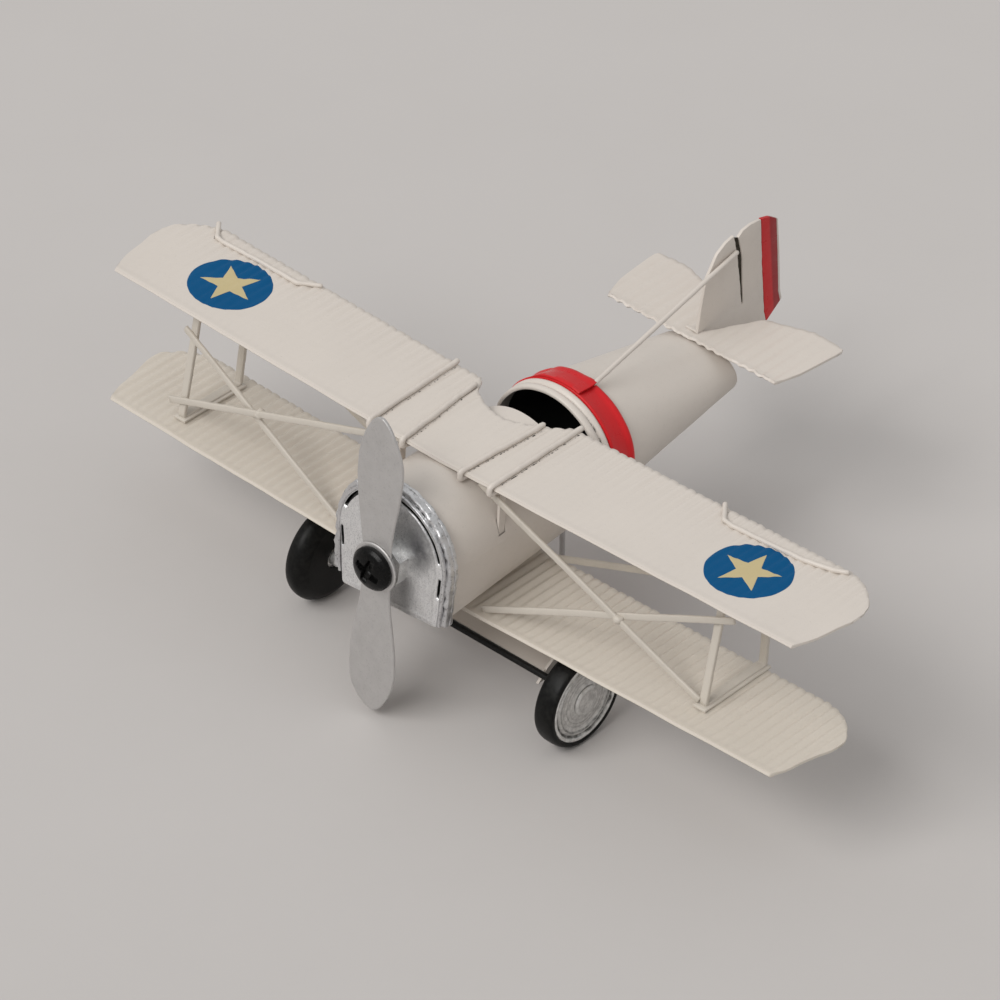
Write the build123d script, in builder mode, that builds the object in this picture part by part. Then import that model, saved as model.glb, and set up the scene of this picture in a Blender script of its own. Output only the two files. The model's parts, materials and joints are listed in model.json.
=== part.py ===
from build123d import *
import math
import os

os.makedirs("parts", exist_ok=True)

# ---------------------------------------------------------------------------
# Sheet-metal biplane scale model.  Millimetres, +X nose, +Y port wing, +Z up,
# wheels and tail skid stand on Z = 0, the box is centred on X and Y.
# Stations are measured from the thrust line: station x = 0 is just ahead of
# the cowl plate, height 0 is the propeller axis.
# ---------------------------------------------------------------------------
X0 = 48.25              # world X of station 0
Z0 = 31.4               # world Z of the propeller axis

SHEET = 0.5             # sheet thickness of the body and wings

# front fuselage: arch section with a flat bottom, changing to a round tube
ARCH_W = 11.5           # half width of the arch
ARCH_ZS = 1.5           # spring line of the arch
ARCH_WB = 10.6          # half width of the flat bottom
ARCH_ZB = -8.9          # height of the flat bottom
PLATE_X = -0.9          # front face of the cowl plate
PLATE_T = 0.8
SHELL_X0 = PLATE_X - PLATE_T
SHELL_X1 = -40.0
TUBE_R = 12.2
TUBE_ZC = 0.9
RIM_ZC = 1.3
COCKPIT_X0, COCKPIT_X1, COCKPIT_Z = -33.1, -40.0, 5.0

# rear fuselage
RIM_X0, RIM_X1 = -40.0, -42.9
CONE_R = 12.3
CONE_X0, CONE_X1 = -42.9, -80.0
CONE_A, CONE_B, CONE_ZC = 8.6, 4.7, 0.6
BAND_X0, BAND_X1 = -42.95, -48.3

# wings
UP_LE, UP_TE, UP_Z = -12.5, -35.0, 13.5
UP_DIH = 12.67 / 455.9
UP_PITCH, UP_AMP = 1.85, 0.12
LO_LE, LO_TE, LO_Z = -10.6, -32.4, -11.9
LO_DIH = 11.73 / 450.8
LO_PITCH, LO_AMP = 1.85, 0.20
BEAD_R = 0.5
ROUNDEL_R = 7.36
ROUNDEL_X = -23.5
ROUNDEL_Y = (57.3, -58.4)
STAR_R, STAR_RI = 5.45, 2.15

# tail
ST_LE, ST_TE, ST_Z = -76.7, -93.6, 6.5
ST_PITCH, ST_AMP = 1.9, 0.12
FIN_T = 0.6

# landing gear
WHEEL_X, WHEEL_Z, WHEEL_Y = -17.1, -22.3, 28.4
TYRE_R, TYRE_W = 9.1, 4.1
HUB_R = 7.9
AXLE_R = 0.6
AXLE_FIT = 0.05
AXLE_END = WHEEL_Y + TYRE_W / 2 + 0.1

# nose hardware
SCREW_R = 1.95
PROP_X0, PROP_X1 = 1.9, 2.5
PROP_FIT = 0.06


def yz(x):
    """Plane across the fuselage at station x: local x = world Y, local y = Z."""
    return Plane(origin=(X0 + x, 0, Z0), x_dir=(0, 1, 0), z_dir=(1, 0, 0))


def xz(y):
    """Side plane at y: local x = station, local y = height, normal is -Y."""
    return Plane(origin=(X0, y, Z0), x_dir=(1, 0, 0), z_dir=(0, -1, 0))


def xy(z):
    """Level plane at height z: local x = station, local y = world Y."""
    return Plane(origin=(X0, 0, Z0 + z))


def between(p, q, up=(1, 0, 0)):
    """Plane at p whose normal points to q; returns the plane and the length."""
    a = Vector(X0 + p[0], p[1], Z0 + p[2])
    b = Vector(X0 + q[0], q[1], Z0 + q[2])
    return Plane(origin=a, x_dir=Vector(*up), z_dir=(b - a)), (b - a).length


def up_z(y):
    return UP_Z + UP_DIH * abs(y)


def lo_z(y):
    return LO_Z + LO_DIH * abs(y)


def sheet_profile(half, z, dih, pitch, amp, t):
    """Closed zigzag outline of a corrugated sheet seen along X."""
    n = int(math.ceil(half / (pitch / 2)))
    ys = [i * pitch / 2 for i in range(-n, n + 1)]
    top = [(y, z(y) + t / 2 + (amp if i % 2 else -amp)) for i, y in enumerate(ys)]
    bot = [(y, z(y) - t / 2 + (amp if i % 2 else -amp)) for i, y in enumerate(ys)]
    return top + bot[::-1]


def lip_profile(half, z, t):
    """Smooth folded edge outline seen along X."""
    return [(-half, z(half) + t / 2), (0, z(0) + t / 2), (half, z(half) + t / 2),
            (half, z(half) - t / 2), (0, z(0) - t / 2), (-half, z(half) - t / 2)]


def mirror_pts(pts):
    return list(pts) + [(x, -y) for x, y in reversed(pts)]


# ---------------------------------------------------------------------------
# Solids used to trim neighbours so that soldered faces meet exactly
# ---------------------------------------------------------------------------
with BuildPart() as shell_outer:
    with BuildSketch(yz(SHELL_X0)):
        with BuildLine():
            Line((-ARCH_WB, ARCH_ZB), (ARCH_WB, ARCH_ZB))
            Line((ARCH_WB, ARCH_ZB), (ARCH_W, ARCH_ZS))
            ThreePointArc((ARCH_W, ARCH_ZS), (0, ARCH_ZS + ARCH_W), (-ARCH_W, ARCH_ZS))
            Line((-ARCH_W, ARCH_ZS), (-ARCH_WB, ARCH_ZB))
        make_face()
    with BuildSketch(yz(SHELL_X1)):
        with BuildLine():
            c, s = math.cos(math.radians(45)), math.sin(math.radians(45))
            c2, s2 = math.cos(math.radians(22)), math.sin(math.radians(22))
            ThreePointArc((-TUBE_R * c, TUBE_ZC - TUBE_R * s), (0, TUBE_ZC - TUBE_R), (TUBE_R * c, TUBE_ZC - TUBE_R * s))
            ThreePointArc((TUBE_R * c, TUBE_ZC - TUBE_R * s), (TUBE_R * c2, TUBE_ZC - TUBE_R * s2), (TUBE_R, TUBE_ZC))
            ThreePointArc((TUBE_R, TUBE_ZC), (0, TUBE_ZC + TUBE_R), (-TUBE_R, TUBE_ZC))
            ThreePointArc((-TUBE_R, TUBE_ZC), (-TUBE_R * c2, TUBE_ZC - TUBE_R * s2), (-TUBE_R * c, TUBE_ZC - TUBE_R * s))
        make_face()
    loft(ruled=True)

with BuildPart() as cone_outer:
    with BuildSketch(yz(CONE_X0)):
        with Locations((0, RIM_ZC)):
            Circle(CONE_R)
    with BuildSketch(yz(CONE_X1)):
        with Locations((0, CONE_ZC)):
            Ellipse(CONE_A, CONE_B)
    loft(ruled=True)


def cone_at(x):
    """Half width, half height and centre height of the rear body at station x."""
    k = (x - CONE_X0) / (CONE_X1 - CONE_X0)
    return (CONE_R + (CONE_A - CONE_R) * k, CONE_R + (CONE_B - CONE_R) * k,
            RIM_ZC + (CONE_ZC - RIM_ZC) * k)


# ---------------------------------------------------------------------------
# Fuselage
# ---------------------------------------------------------------------------
with BuildPart() as front_fuselage_shell:
    add(shell_outer.part)
    with BuildSketch(yz(SHELL_X0)):
        with BuildLine():
            w, wb, zb = ARCH_W - SHEET, ARCH_WB - SHEET, ARCH_ZB + SHEET
            Line((-wb, zb), (wb, zb))
            Line((wb, zb), (w, ARCH_ZS))
            ThreePointArc((w, ARCH_ZS), (0, ARCH_ZS + w), (-w, ARCH_ZS))
            Line((-w, ARCH_ZS), (-wb, zb))
        make_face()
    with BuildSketch(yz(SHELL_X1)):
        with BuildLine():
            r = TUBE_R - SHEET
            ThreePointArc((-r * c, TUBE_ZC - r * s), (0, TUBE_ZC - r), (r * c, TUBE_ZC - r * s))
            ThreePointArc((r * c, TUBE_ZC - r * s), (r * c2, TUBE_ZC - r * s2), (r, TUBE_ZC))
            ThreePointArc((r, TUBE_ZC), (0, TUBE_ZC + r), (-r, TUBE_ZC))
            ThreePointArc((-r, TUBE_ZC), (-r * c2, TUBE_ZC - r * s2), (-r * c, TUBE_ZC - r * s))
        make_face()
    loft(ruled=True, mode=Mode.SUBTRACT)
    # cockpit opening between the wing and the rear rim
    with BuildSketch(xz(0)):
        with Locations(((COCKPIT_X0 + COCKPIT_X1 - 1) / 2, COCKPIT_Z + 10)):
            Rectangle(COCKPIT_X0 - COCKPIT_X1 + 1, 20)
    extrude(amount=20, both=True, mode=Mode.SUBTRACT)
    # slots that the cabane strips plug into, two on each side
    for cx in (-15.6, -24.3):
        for side in (1, -1):
            with BuildSketch(xz(side * 11.15)):
                with Locations((cx, 4.6)):
                    Rectangle(1.7, 5.2)
            extrude(amount=0.45, both=True, mode=Mode.SUBTRACT)
front_fuselage_shell.part.label = "front_fuselage_shell"

with BuildPart() as cowl_front_plate:
    with BuildSketch(yz(PLATE_X - PLATE_T)):
        with BuildLine():
            g = 0.05
            w, wb = ARCH_W - g, ARCH_WB - g
            # the hand-cut lower edge hangs below the shell, more so to starboard
            zp, zs = ARCH_ZB - 0.2, ARCH_ZB - 1.8
            Line((-wb + 0.8, zs), (wb - 0.6, zp))
            Line((wb - 0.6, zp), (wb, zp + 0.7))
            Line((wb, zp + 0.7), (w, ARCH_ZS))
            ThreePointArc((w, ARCH_ZS), (0, ARCH_ZS + w), (-w, ARCH_ZS))
            Line((-w, ARCH_ZS), (-wb, ARCH_ZB))
            Line((-wb, ARCH_ZB), (-wb, zs + 0.8))
            Line((-wb, zs + 0.8), (-wb + 0.8, zs))
        make_face()
    extrude(amount=PLATE_T)
    fillet(cowl_front_plate.faces().sort_by(Axis.X)[-1].edges(), radius=0.3)
    # arc slots between the plate and the rolled edge
    for a0, a1 in ((-22, -4), (14, 80), (134, 160), (184, 202)):
        with BuildSketch(yz(PLATE_X - PLATE_T - 0.1)):
            with Locations((0, ARCH_ZS)):
                SlotArc(CenterArc((0, 0), ARCH_W - 0.5, a0, a1 - a0), 0.45)
        extrude(amount=PLATE_T + 1, mode=Mode.SUBTRACT)
    with BuildSketch(yz(PLATE_X - PLATE_T - 0.1)):
        Circle(SCREW_R + 0.1)
    extrude(amount=PLATE_T + 1, mode=Mode.SUBTRACT)
cowl_front_plate.part.label = "cowl_front_plate"

with BuildPart() as cowl_ring:
    # horseshoe of solder rolled over the joint, open along the flat bottom
    with BuildSketch(yz(-3.3)):
        with BuildLine():
            w, wb, zb = ARCH_W + 0.75, ARCH_WB + 0.8, ARCH_ZB + 0.1
            Line((-wb, zb), (wb, zb))
            Line((wb, zb), (w, ARCH_ZS))
            ThreePointArc((w, ARCH_ZS), (0, ARCH_ZS + w), (-w, ARCH_ZS))
            Line((-w, ARCH_ZS), (-wb, zb))
        make_face()
        with BuildLine():
            w, wb = ARCH_W, ARCH_WB
            Line((-wb, ARCH_ZB), (wb, ARCH_ZB))
            Line((wb, ARCH_ZB), (w, ARCH_ZS))
            ThreePointArc((w, ARCH_ZS), (0, ARCH_ZS + w), (-w, ARCH_ZS))
            Line((-w, ARCH_ZS), (-wb, ARCH_ZB))
        make_face(mode=Mode.SUBTRACT)
    extrude(amount=2.7)
    add(shell_outer.part, mode=Mode.SUBTRACT)
cowl_ring.part.label = "cowl_ring"

with BuildPart() as cockpit_rim:
    with BuildSketch(xz(0)):
        with BuildLine():
            # rolled lip, a groove, then the flange that meets the rear body
            Polyline((RIM_X0, RIM_ZC + 11.6), (RIM_X0, RIM_ZC + 12.05), (-40.4, RIM_ZC + 12.35),
                     (-41.2, RIM_ZC + 12.4), (-41.6, RIM_ZC + 12.1), (-42.0, RIM_ZC + 12.45),
                     (-42.6, RIM_ZC + 12.6), (RIM_X1, RIM_ZC + 12.5), (RIM_X1, RIM_ZC + 11.7), close=True)
        make_face()
    revolve(axis=Axis((X0, 0, Z0 + RIM_ZC), (1, 0, 0)))
cockpit_rim.part.label = "cockpit_rim"

with BuildPart() as rear_fuselage_cone:
    add(cone_outer.part)
    with BuildSketch(yz(CONE_X0)):
        with Locations((0, RIM_ZC)):
            Circle(CONE_R - SHEET)
    with BuildSketch(yz(CONE_X1 + SHEET)):
        with Locations((0, CONE_ZC)):
            Ellipse(CONE_A - SHEET, CONE_B - SHEET)
    loft(ruled=True, mode=Mode.SUBTRACT)
rear_fuselage_cone.part.label = "rear_fuselage_cone"


def band_section(x, off):
    a, b, zc = cone_at(x)
    return a + off, b + off, zc


with BuildPart() as red_band:
    for x0, x1, off in ((BAND_X0, BAND_X1, 0.35), (-47.4, BAND_X1, 0.75)):
        with BuildSketch(yz(x0)):
            a, b, zc = band_section(x0, off)
            with Locations((0, zc)):
                Ellipse(a, b)
        with BuildSketch(yz(x1)):
            a, b, zc = band_section(x1, off)
            with Locations((0, zc)):
                Ellipse(a, b)
        loft(ruled=True)
    add(cone_outer.part, mode=Mode.SUBTRACT)
red_band.part.label = "red_band"

with BuildPart() as red_band_strap_end:
    with BuildSketch(yz(-43.3)):
        a, b, zc = band_section(-43.3, 1.2)
        with Locations((0, zc)):
            Ellipse(a, b)
    with BuildSketch(yz(-48.9)):
        a, b, zc = band_section(-48.9, 1.2)
        with Locations((0, zc)):
            Ellipse(a, b)
    loft(ruled=True)
    with BuildSketch(yz(-43.2)):
        a, b, zc = band_section(-43.2, 0.75)
        with Locations((0, zc)):
            Ellipse(a, b)
    with BuildSketch(yz(-49.0)):
        a, b, zc = band_section(-49.0, 0.75)
        with Locations((0, zc)):
            Ellipse(a, b)
    loft(ruled=True, mode=Mode.SUBTRACT)
    with BuildSketch(yz(-49.5)):
        with BuildLine():
            Polyline((0, 1.3), (4.3, 17.5), (-11.5, 17.5), close=True)
        make_face()
    extrude(amount=8, mode=Mode.INTERSECT)
red_band_strap_end.part.label = "red_band_strap_end"

with BuildPart() as wing_saddle:
    # folded channel that lifts the fuselage off the lower wing
    with BuildSketch(yz(-31)):
        with BuildLine():
            Polyline((-6, -5), (-6, -11.22), (6, -11.22), (6, -5), (5.5, -5), (5.5, -10.78), (-5.5, -10.78), (-5.5, -5), close=True)
        make_face()
    extrude(amount=18)
    add(shell_outer.part, mode=Mode.SUBTRACT)
    with BuildSketch(xy(-8)):
        with Locations((-22, 0)):
            Rectangle(30, 30)
    extrude(amount=6, mode=Mode.SUBTRACT)
wing_saddle.part.label = "wing_saddle"

# ---------------------------------------------------------------------------
# Wings
# ---------------------------------------------------------------------------
UP_TIP = [(UP_LE, 75.2), (-16.9, 76.8), (-21.2, 77.3), (-24.5, 78.3), (-28.0, 78.0),
          (-30.9, 76.4), (-33.6, 73.2), (UP_TE, 69.6)]
LO_TIP = [(LO_LE, 74.4), (-13.6, 75.5), (-17.0, 76.2), (-20.5, 76.9), (-24.5, 77.8),
          (-27.0, 77.2), (-29.5, 75.4), (-31.6, 72.4), (LO_TE, 69.2)]

with BuildPart() as upper_wing:
    with BuildSketch(yz(UP_TE - 1)):
        with BuildLine():
            Polyline(*sheet_profile(80, up_z, UP_DIH, UP_PITCH, UP_AMP, SHEET), close=True)
        make_face()
    extrude(amount=UP_LE - UP_TE + 0.2)
    with BuildSketch(yz(UP_LE - 0.9)):
        with BuildLine():
            Polyline(*lip_profile(80, up_z, 0.74), close=True)
        make_face()
    extrude(amount=0.9)
    with BuildSketch(xy(5)):
        with BuildLine():
            Polyline(*(UP_TIP + [(UP_TE, 10.2), (-32.9, 7.4), (-31.4, 4.6), (-29.9, 1.8), (-29.2, -0.6), (-29.2, -2.8),
                                 (-29.9, -5.2), (-31.6, -8.6), (UP_TE, -11.2)]
                       + [(x, -y) for x, y in reversed(UP_TIP)]), close=True)
        make_face()
    extrude(amount=20, mode=Mode.INTERSECT)
upper_wing.part.label = "upper_wing"

with BuildPart() as lower_wing:
    with BuildSketch(yz(LO_TE - 1)):
        with BuildLine():
            Polyline(*sheet_profile(80, lo_z, LO_DIH, LO_PITCH, LO_AMP, SHEET), close=True)
        make_face()
    extrude(amount=LO_LE - LO_TE + 0.2)
    with BuildSketch(yz(LO_LE - 0.9)):
        with BuildLine():
            Polyline(*lip_profile(80, lo_z, 0.9), close=True)
        make_face()
    extrude(amount=0.9)
    with BuildSketch(xy(-20)):
        with BuildLine():
            Polyline(*mirror_pts(LO_TIP), close=True)
        make_face()
    extrude(amount=20, mode=Mode.INTERSECT)
lower_wing.part.label = "lower_wing"

# chordwise wires folded round the leading edge: (y at the nose, y at the tail, tail station)
BEADS = {"wing_wire_outer_starboard": (-15.4, -16.4, -34.8),
         "wing_wire_inner_starboard": (-7.9, -9.9, -32.0),
         "wing_wire_inner_port": (5.0, 5.9, -31.4),
         "wing_wire_outer_port": (11.5, 11.2, -34.8)}
beads = {}
for bead_name, (y_le, y_te, x_te) in BEADS.items():
    with BuildPart() as bead:
        ym = (y_le + y_te) / 2
        h = up_z(ym) + SHEET / 2 + UP_AMP + BEAD_R - 0.08
        zm = up_z(ym)
        run = Vector(UP_LE - x_te, y_le - y_te, 0)
        L = run.length
        side_plane = Plane(origin=(X0 + x_te, y_te, Z0), x_dir=run, z_dir=run.cross(Vector(0, 0, 1)))
        with BuildLine(side_plane) as path:
            FilletPolyline((0, h), (L + 0.55, h), (L + 0.55, zm - 0.95), (L - 0.9, zm - 0.95), radius=0.62)
        with BuildSketch(Plane(origin=path.line @ 0, z_dir=path.line % 0)):
            Circle(BEAD_R)
        sweep()
    bead.part.label = bead_name
    beads[bead_name] = bead

# raised wire outlines of the ailerons
AIL_Z = SHEET / 2 + UP_AMP + 0.32
ailerons = {}
for side, pts in (("port", [(-34.9, 42.6), (-31.4, 45.4), (-31.0, 47.2), (-31.2, 54.0), (-31.5, 61.5), (-32.7, 67.2), (-33.6, 69.4)]),
                  ("starboard", [(-34.9, -72.0), (-31.6, -69.2), (-31.4, -67.4), (-31.8, -59.2), (-31.8, -50.6), (-34.2, -47.2)])):
    with BuildPart() as ail:
        s = 1 if side == "port" else -1
        wing_plane = Plane(origin=(X0, 0, Z0 + UP_Z + AIL_Z), x_dir=(1, 0, 0),
                           z_dir=(0, -s * UP_DIH, 1))
        with BuildLine(wing_plane) as path:
            FilletPolyline(*pts, radius=0.8)
        with BuildSketch(Plane(origin=path.line @ 0, z_dir=path.line % 0)):
            Circle(0.4)
        sweep()
    ail.part.label = "aileron_wire_" + side
    ailerons[side] = ail

# painted insignia: a plain disc with a five-pointed star let into it
STAR_TURN = {"port": 44.0, "starboard": 6.0}
roundels = {}
for side, ry in zip(("port", "starboard"), ROUNDEL_Y):
    s = 1 if ry > 0 else -1
    rp = Plane(origin=(X0 + ROUNDEL_X, ry, Z0 + up_z(ry) + SHEET / 2 + UP_AMP), x_dir=(1, 0, 0),
               z_dir=(0, -s * UP_DIH, 1))
    star_pts = []
    for i in range(10):
        rr = STAR_R if i % 2 == 0 else STAR_RI
        a = math.radians(STAR_TURN[side] + i * 36)
        star_pts.append((rr * math.cos(a), rr * math.sin(a)))
    with BuildPart() as disc:
        with BuildSketch(rp):
            Circle(ROUNDEL_R)
            with BuildLine():
                Polyline(*star_pts, close=True)
            make_face(mode=Mode.SUBTRACT)
        extrude(amount=0.12)
    disc.part.label = "roundel_disc_" + side
    with BuildPart() as star:
        with BuildSketch(rp):
            with BuildLine():
                Polyline(*star_pts, close=True)
            make_face()
        extrude(amount=0.15)
    star.part.label = "roundel_star_" + side
    roundels[side] = (disc, star)

# ---------------------------------------------------------------------------
# Interplane struts and crossed bracing
# ---------------------------------------------------------------------------
STRUTS = {"port": (55.0, -15.9, -32.7, -17.0, -21.2, -32.2, -32.8),
          "starboard": (-61.2, -14.3, -29.6, -14.9, -19.6, -29.0, -32.4)}
struts = {}
for side, (sy, b0, b1, f0, f1, r0, r1) in STRUTS.items():
    zb = lo_z(sy) + SHEET / 2 + LO_AMP + 0.225
    zt = up_z(sy) - SHEET / 2 - UP_AMP + 0.1
    with BuildPart() as strut:
        with BuildSketch(xz(sy)):
            with BuildLine():
                Polyline((f1, zt), (f0, zb + 0.175), (r0, zb + 0.175), (r1, zt))
            trace(line_width=0.8)
        extrude(amount=0.75, both=True)
        with BuildSketch(xz(sy)):
            with Locations(((b0 + b1) / 2, zb)):
                Rectangle(b0 - b1, 0.45)
        extrude(amount=1.35, both=True)
        # trim the leg ends level with the sheet above
        with BuildSketch(xy(zt)):
            with Locations((-25, sy)):
                Rectangle(40, 10)
        extrude(amount=3, mode=Mode.SUBTRACT)
    strut.part.label = "interplane_strut_" + side
    struts[side] = strut

# each strip is soldered to the front face of a strut leg
BRACES = {
    "brace_down_port": ((-13.6, 8.0, 12.85), (-16.72, 54.2, -8.9)),
    "brace_up_port": ((-12.4, 10.9, -11.05), (-19.30, 58.3, 8.1)),
    "brace_up_starboard": ((-12.5, -20.5, -10.75), (-17.52, -63.0, 7.0)),
    "brace_down_starboard": ((-13.6, -9.6, 12.85), (-14.90, -64.0, -7.0)),
    "rear_brace_port": ((-30.8, 10.0, -10.6), (-31.85, 54.6, 6.0)),
    "rear_brace_starboard": ((-28.6, -10.0, -10.6), (-30.75, -60.8, 6.0)),
}
braces = {}
for brace_name, (p, q) in BRACES.items():
    with BuildPart() as brace:
        pl, length = between(p, q)
        with BuildSketch(pl):
            RectangleRounded(0.6, 1.25, 0.2)
        extrude(amount=length)
    brace.part.label = brace_name
    braces[brace_name] = brace

# (station, y, height, half length along x)
BLOBS = {"solder_blob_port": (-15.9, 37.2, -0.9, 0.95), "solder_blob_starboard": (-14.85, -42.6, 0.7, 1.05)}
blobs = {}
for blob_name, (bx, by, bz, bl) in BLOBS.items():
    with BuildPart() as blob:
        with BuildSketch(xz(by)):
            with BuildLine():
                Spline((bx + bl, bz), (bx + bl * 0.6, bz + 0.95), (bx - bl * 0.5, bz + 0.9), (bx - bl, bz))
                Line((bx - bl, bz), (bx + bl, bz))
            make_face()
        revolve(axis=Axis((X0 + bx, by, Z0 + bz), (1, 0, 0)))
        for other in ("down", "up"):
            add(braces["brace_%s_%s" % (other, blob_name[12:])].part, mode=Mode.SUBTRACT)
    blob.part.label = blob_name
    blobs[blob_name] = blob

# cabane strips: from the underside of the upper wing into the fuselage slots
cabanes = {}
for cab_name, cx, side in (("cabane_front_port", -15.6, 1), ("cabane_front_starboard", -15.6, -1),
                           ("cabane_rear_port", -24.3, 1), ("cabane_rear_starboard", -24.3, -1)):
    with BuildPart() as cab:
        with BuildSketch(xz(side * 11.15)):
            with BuildLine():
                zt = up_z(11.15) - SHEET / 2
                Polyline((cx + 0.7, zt), (cx + 0.7, 3.0), (cx + 0.3, 2.4), (cx - 0.3, 2.4), (cx - 0.7, 3.0), (cx - 0.7, zt), close=True)
            make_face()
        extrude(amount=0.25, both=True)
    cab.part.label = cab_name
    cabanes[cab_name] = cab

# ---------------------------------------------------------------------------
# Landing gear
# ---------------------------------------------------------------------------
GEAR_Y = 20.5
with BuildPart() as landing_gear_bracket:
    # two legs folded down from the wing and joined by a plate; the axle is
    # soldered along the front edge of the plate
    zt = lo_z(GEAR_Y) - SHEET / 2 - 0.05
    xf = WHEEL_X - AXLE_R + 0.06
    for side in (1, -1):
        with BuildSketch(xz(side * (GEAR_Y - SHEET / 2))):
            with BuildLine():
                Polyline((-16.2, -23.75), (-17.2, -22.98), (xf, WHEEL_Z), (-18.3, -21.7), (-20.1, -20.6), (-21.4, zt),
                         (-28.6, zt), (-24.4, -22.3), (-17.9, -23.6), close=True)
            make_face()
        extrude(amount=SHEET / 2, both=True)
    with BuildSketch(xy(WHEEL_Z)):
        with Locations(((xf - 24.4) / 2, 0)):
            Rectangle(xf + 24.4, 2 * GEAR_Y - 0.2)
    extrude(amount=SHEET)
landing_gear_bracket.part.label = "landing_gear_bracket"

AXLE_LINE = Axis((X0 + WHEEL_X, 0, Z0 + WHEEL_Z), (0, 1, 0))
with BuildPart() as axle:
    with BuildSketch(Plane(origin=(X0 + WHEEL_X, 0, Z0 + WHEEL_Z), x_dir=(1, 0, 0), z_dir=(0, -1, 0))):
        Circle(AXLE_R)
    extrude(amount=AXLE_END, both=True)
    # swaged collars that stop the wheels sliding inwards
    for side in (1, -1):
        with BuildSketch(Plane(origin=(X0 + WHEEL_X, side * 25.0, Z0 + WHEEL_Z), x_dir=(1, 0, 0), z_dir=(0, -1, 0))):
            Circle(1.25)
        extrude(amount=0.4, both=True)
axle.part.label = "axle"

wheels = {}
# tread outline of each tyre: distance outboard from the inner face, radius
TREADS = {"port": [(0, 8.65), (0.35, 8.9), (1.1, TYRE_R), (2.6, TYRE_R), (3.5, 8.95), (TYRE_W, 8.7)],
          "starboard": [(0, 7.1), (0.45, 7.75), (1.2, 8.6), (2.1, TYRE_R), (2.9, TYRE_R), (3.6, 8.9), (TYRE_W, 8.6)]}
for side, s in (("port", 1), ("starboard", -1)):
    yi = s * (WHEEL_Y - TYRE_W / 2)
    yo = s * (WHEEL_Y + TYRE_W / 2)
    # local x = distance outboard from the inner tyre face, local y = radius
    sec = Plane(origin=(X0 + WHEEL_X, yi, Z0 + WHEEL_Z), x_dir=(0, s, 0), z_dir=(s, 0, 0))
    rh = HUB_R if s > 0 else HUB_R - 0.1
    ri = rh if s > 0 else 6.6
    with BuildPart() as hub:
        with BuildSketch(sec):
            with BuildLine():
                b = AXLE_R + AXLE_FIT
                Polyline((-0.85, b), (-0.85, 1.6), (0.5, 1.6), (0.5, ri), (1.4, rh),
                         (3.95, rh), (3.95, 7.3), (3.6, 7.15), (3.6, 6.75), (3.85, 6.6), (3.85, 6.2), (3.55, 6.0),
                         (3.65, b), close=True)
            make_face()
        revolve(axis=AXLE_LINE)
    hub.part.label = "wheel_hub_" + side
    with BuildPart() as tyre:
        # rubber cup: tread, and a thin web over the inner face of the hub
        with BuildSketch(sec):
            with BuildLine():
                Polyline(*(TREADS[side] + [(TYRE_W, rh + 0.05), (TYRE_W - 0.1, rh), (1.4, rh), (0.5, ri),
                                           (0.5, 2.2), (0, 2.2)]), close=True)
            make_face()
        revolve(axis=AXLE_LINE)
    tyre.part.label = "tyre_" + side
    with BuildPart() as cap:
        # shallow pressed cap that closes the end of the axle
        with BuildSketch(Plane(origin=(X0 + WHEEL_X, s * (WHEEL_Y + TYRE_W / 2 - 0.15), Z0 + WHEEL_Z), x_dir=(1, 0, 0), z_dir=(0, s, 0))):
            Circle(2.9)
        extrude(amount=0.65)
        fillet(cap.faces().sort_by(Axis.Y)[-1 if s > 0 else 0].edges(), radius=0.3)
        with BuildSketch(Plane(origin=(X0 + WHEEL_X, 0, Z0 + WHEEL_Z), x_dir=(1, 0, 0), z_dir=(0, s, 0))):
            Circle(AXLE_R)
        extrude(amount=AXLE_END, mode=Mode.SUBTRACT)
    cap.part.label = "axle_cap_" + side
    wheels[side] = (hub, tyre, cap)

# ---------------------------------------------------------------------------
# Tail
# ---------------------------------------------------------------------------
ST_HALF = [(ST_LE, 19.0), (-82.0, 20.3), (-86.0, 20.8), (-92.0, 21.3), (-93.2, 20.8), (ST_TE, 17.4), (ST_TE, 14.2),
           (-90.5, 5.7), (-80.0, 0.5)]
with BuildPart() as stabilizer:
    with BuildSketch(yz(ST_TE - 1)):
        with BuildLine():
            Polyline(*sheet_profile(23, lambda y: ST_Z, 0, ST_PITCH, ST_AMP, SHEET), close=True)
        make_face()
    extrude(amount=ST_LE - ST_TE + 1)
    with BuildSketch(xy(2)):
        with BuildLine():
            Polyline(*mirror_pts(ST_HALF), close=True)
        make_face()
    extrude(amount=10, mode=Mode.INTERSECT)
stabilizer.part.label = "stabilizer"

FIN_BASE = ST_Z + SHEET / 2 + ST_AMP - 0.05
with BuildPart() as fin:
    with BuildSketch(xz(0)):
        with BuildLine():
            Polyline((-78.5, FIN_BASE), (-79.2, 13.0), (-79.9, 17.2), (-81.3, 19.6), (-82.6, 21.5), (-84.6, 22.7),
                     (-86.7, 23.2), (-90.2, 7.2), (-90.7, 7.2), (-88.0, 22.3), (-89.2, 23.2), (-91.2, 23.6), (-94.0, 23.3),
                     (-95.1, 14.0), (-96.8, 2.8), (-97.5, 0.2), (-80.05, 0.2), (-80.05, FIN_BASE), close=True)
        make_face()
    extrude(amount=FIN_T / 2, both=True)
    # mounting tab folded flat on the stabilizer
    with BuildSketch(xy(FIN_BASE)):
        with Locations((-78.95, -1.2)):
            Rectangle(0.9, 2.4)
    extrude(amount=0.4)
fin.part.label = "fin"

with BuildPart() as rudder_stripe:
    with BuildSketch(xz(0)):
        with BuildLine():
            Polyline((-94.0, 23.3), (-98.2, 21.6), (-99.2, 14.3), (-100.3, 5.3), (-101.0, 2.9), (-97.5, 0.2),
                     (-96.8, 2.8), (-95.1, 14.0), close=True)
        make_face()
    extrude(amount=FIN_T / 2 + 0.05, both=True)
rudder_stripe.part.label = "rudder_stripe"

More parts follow.
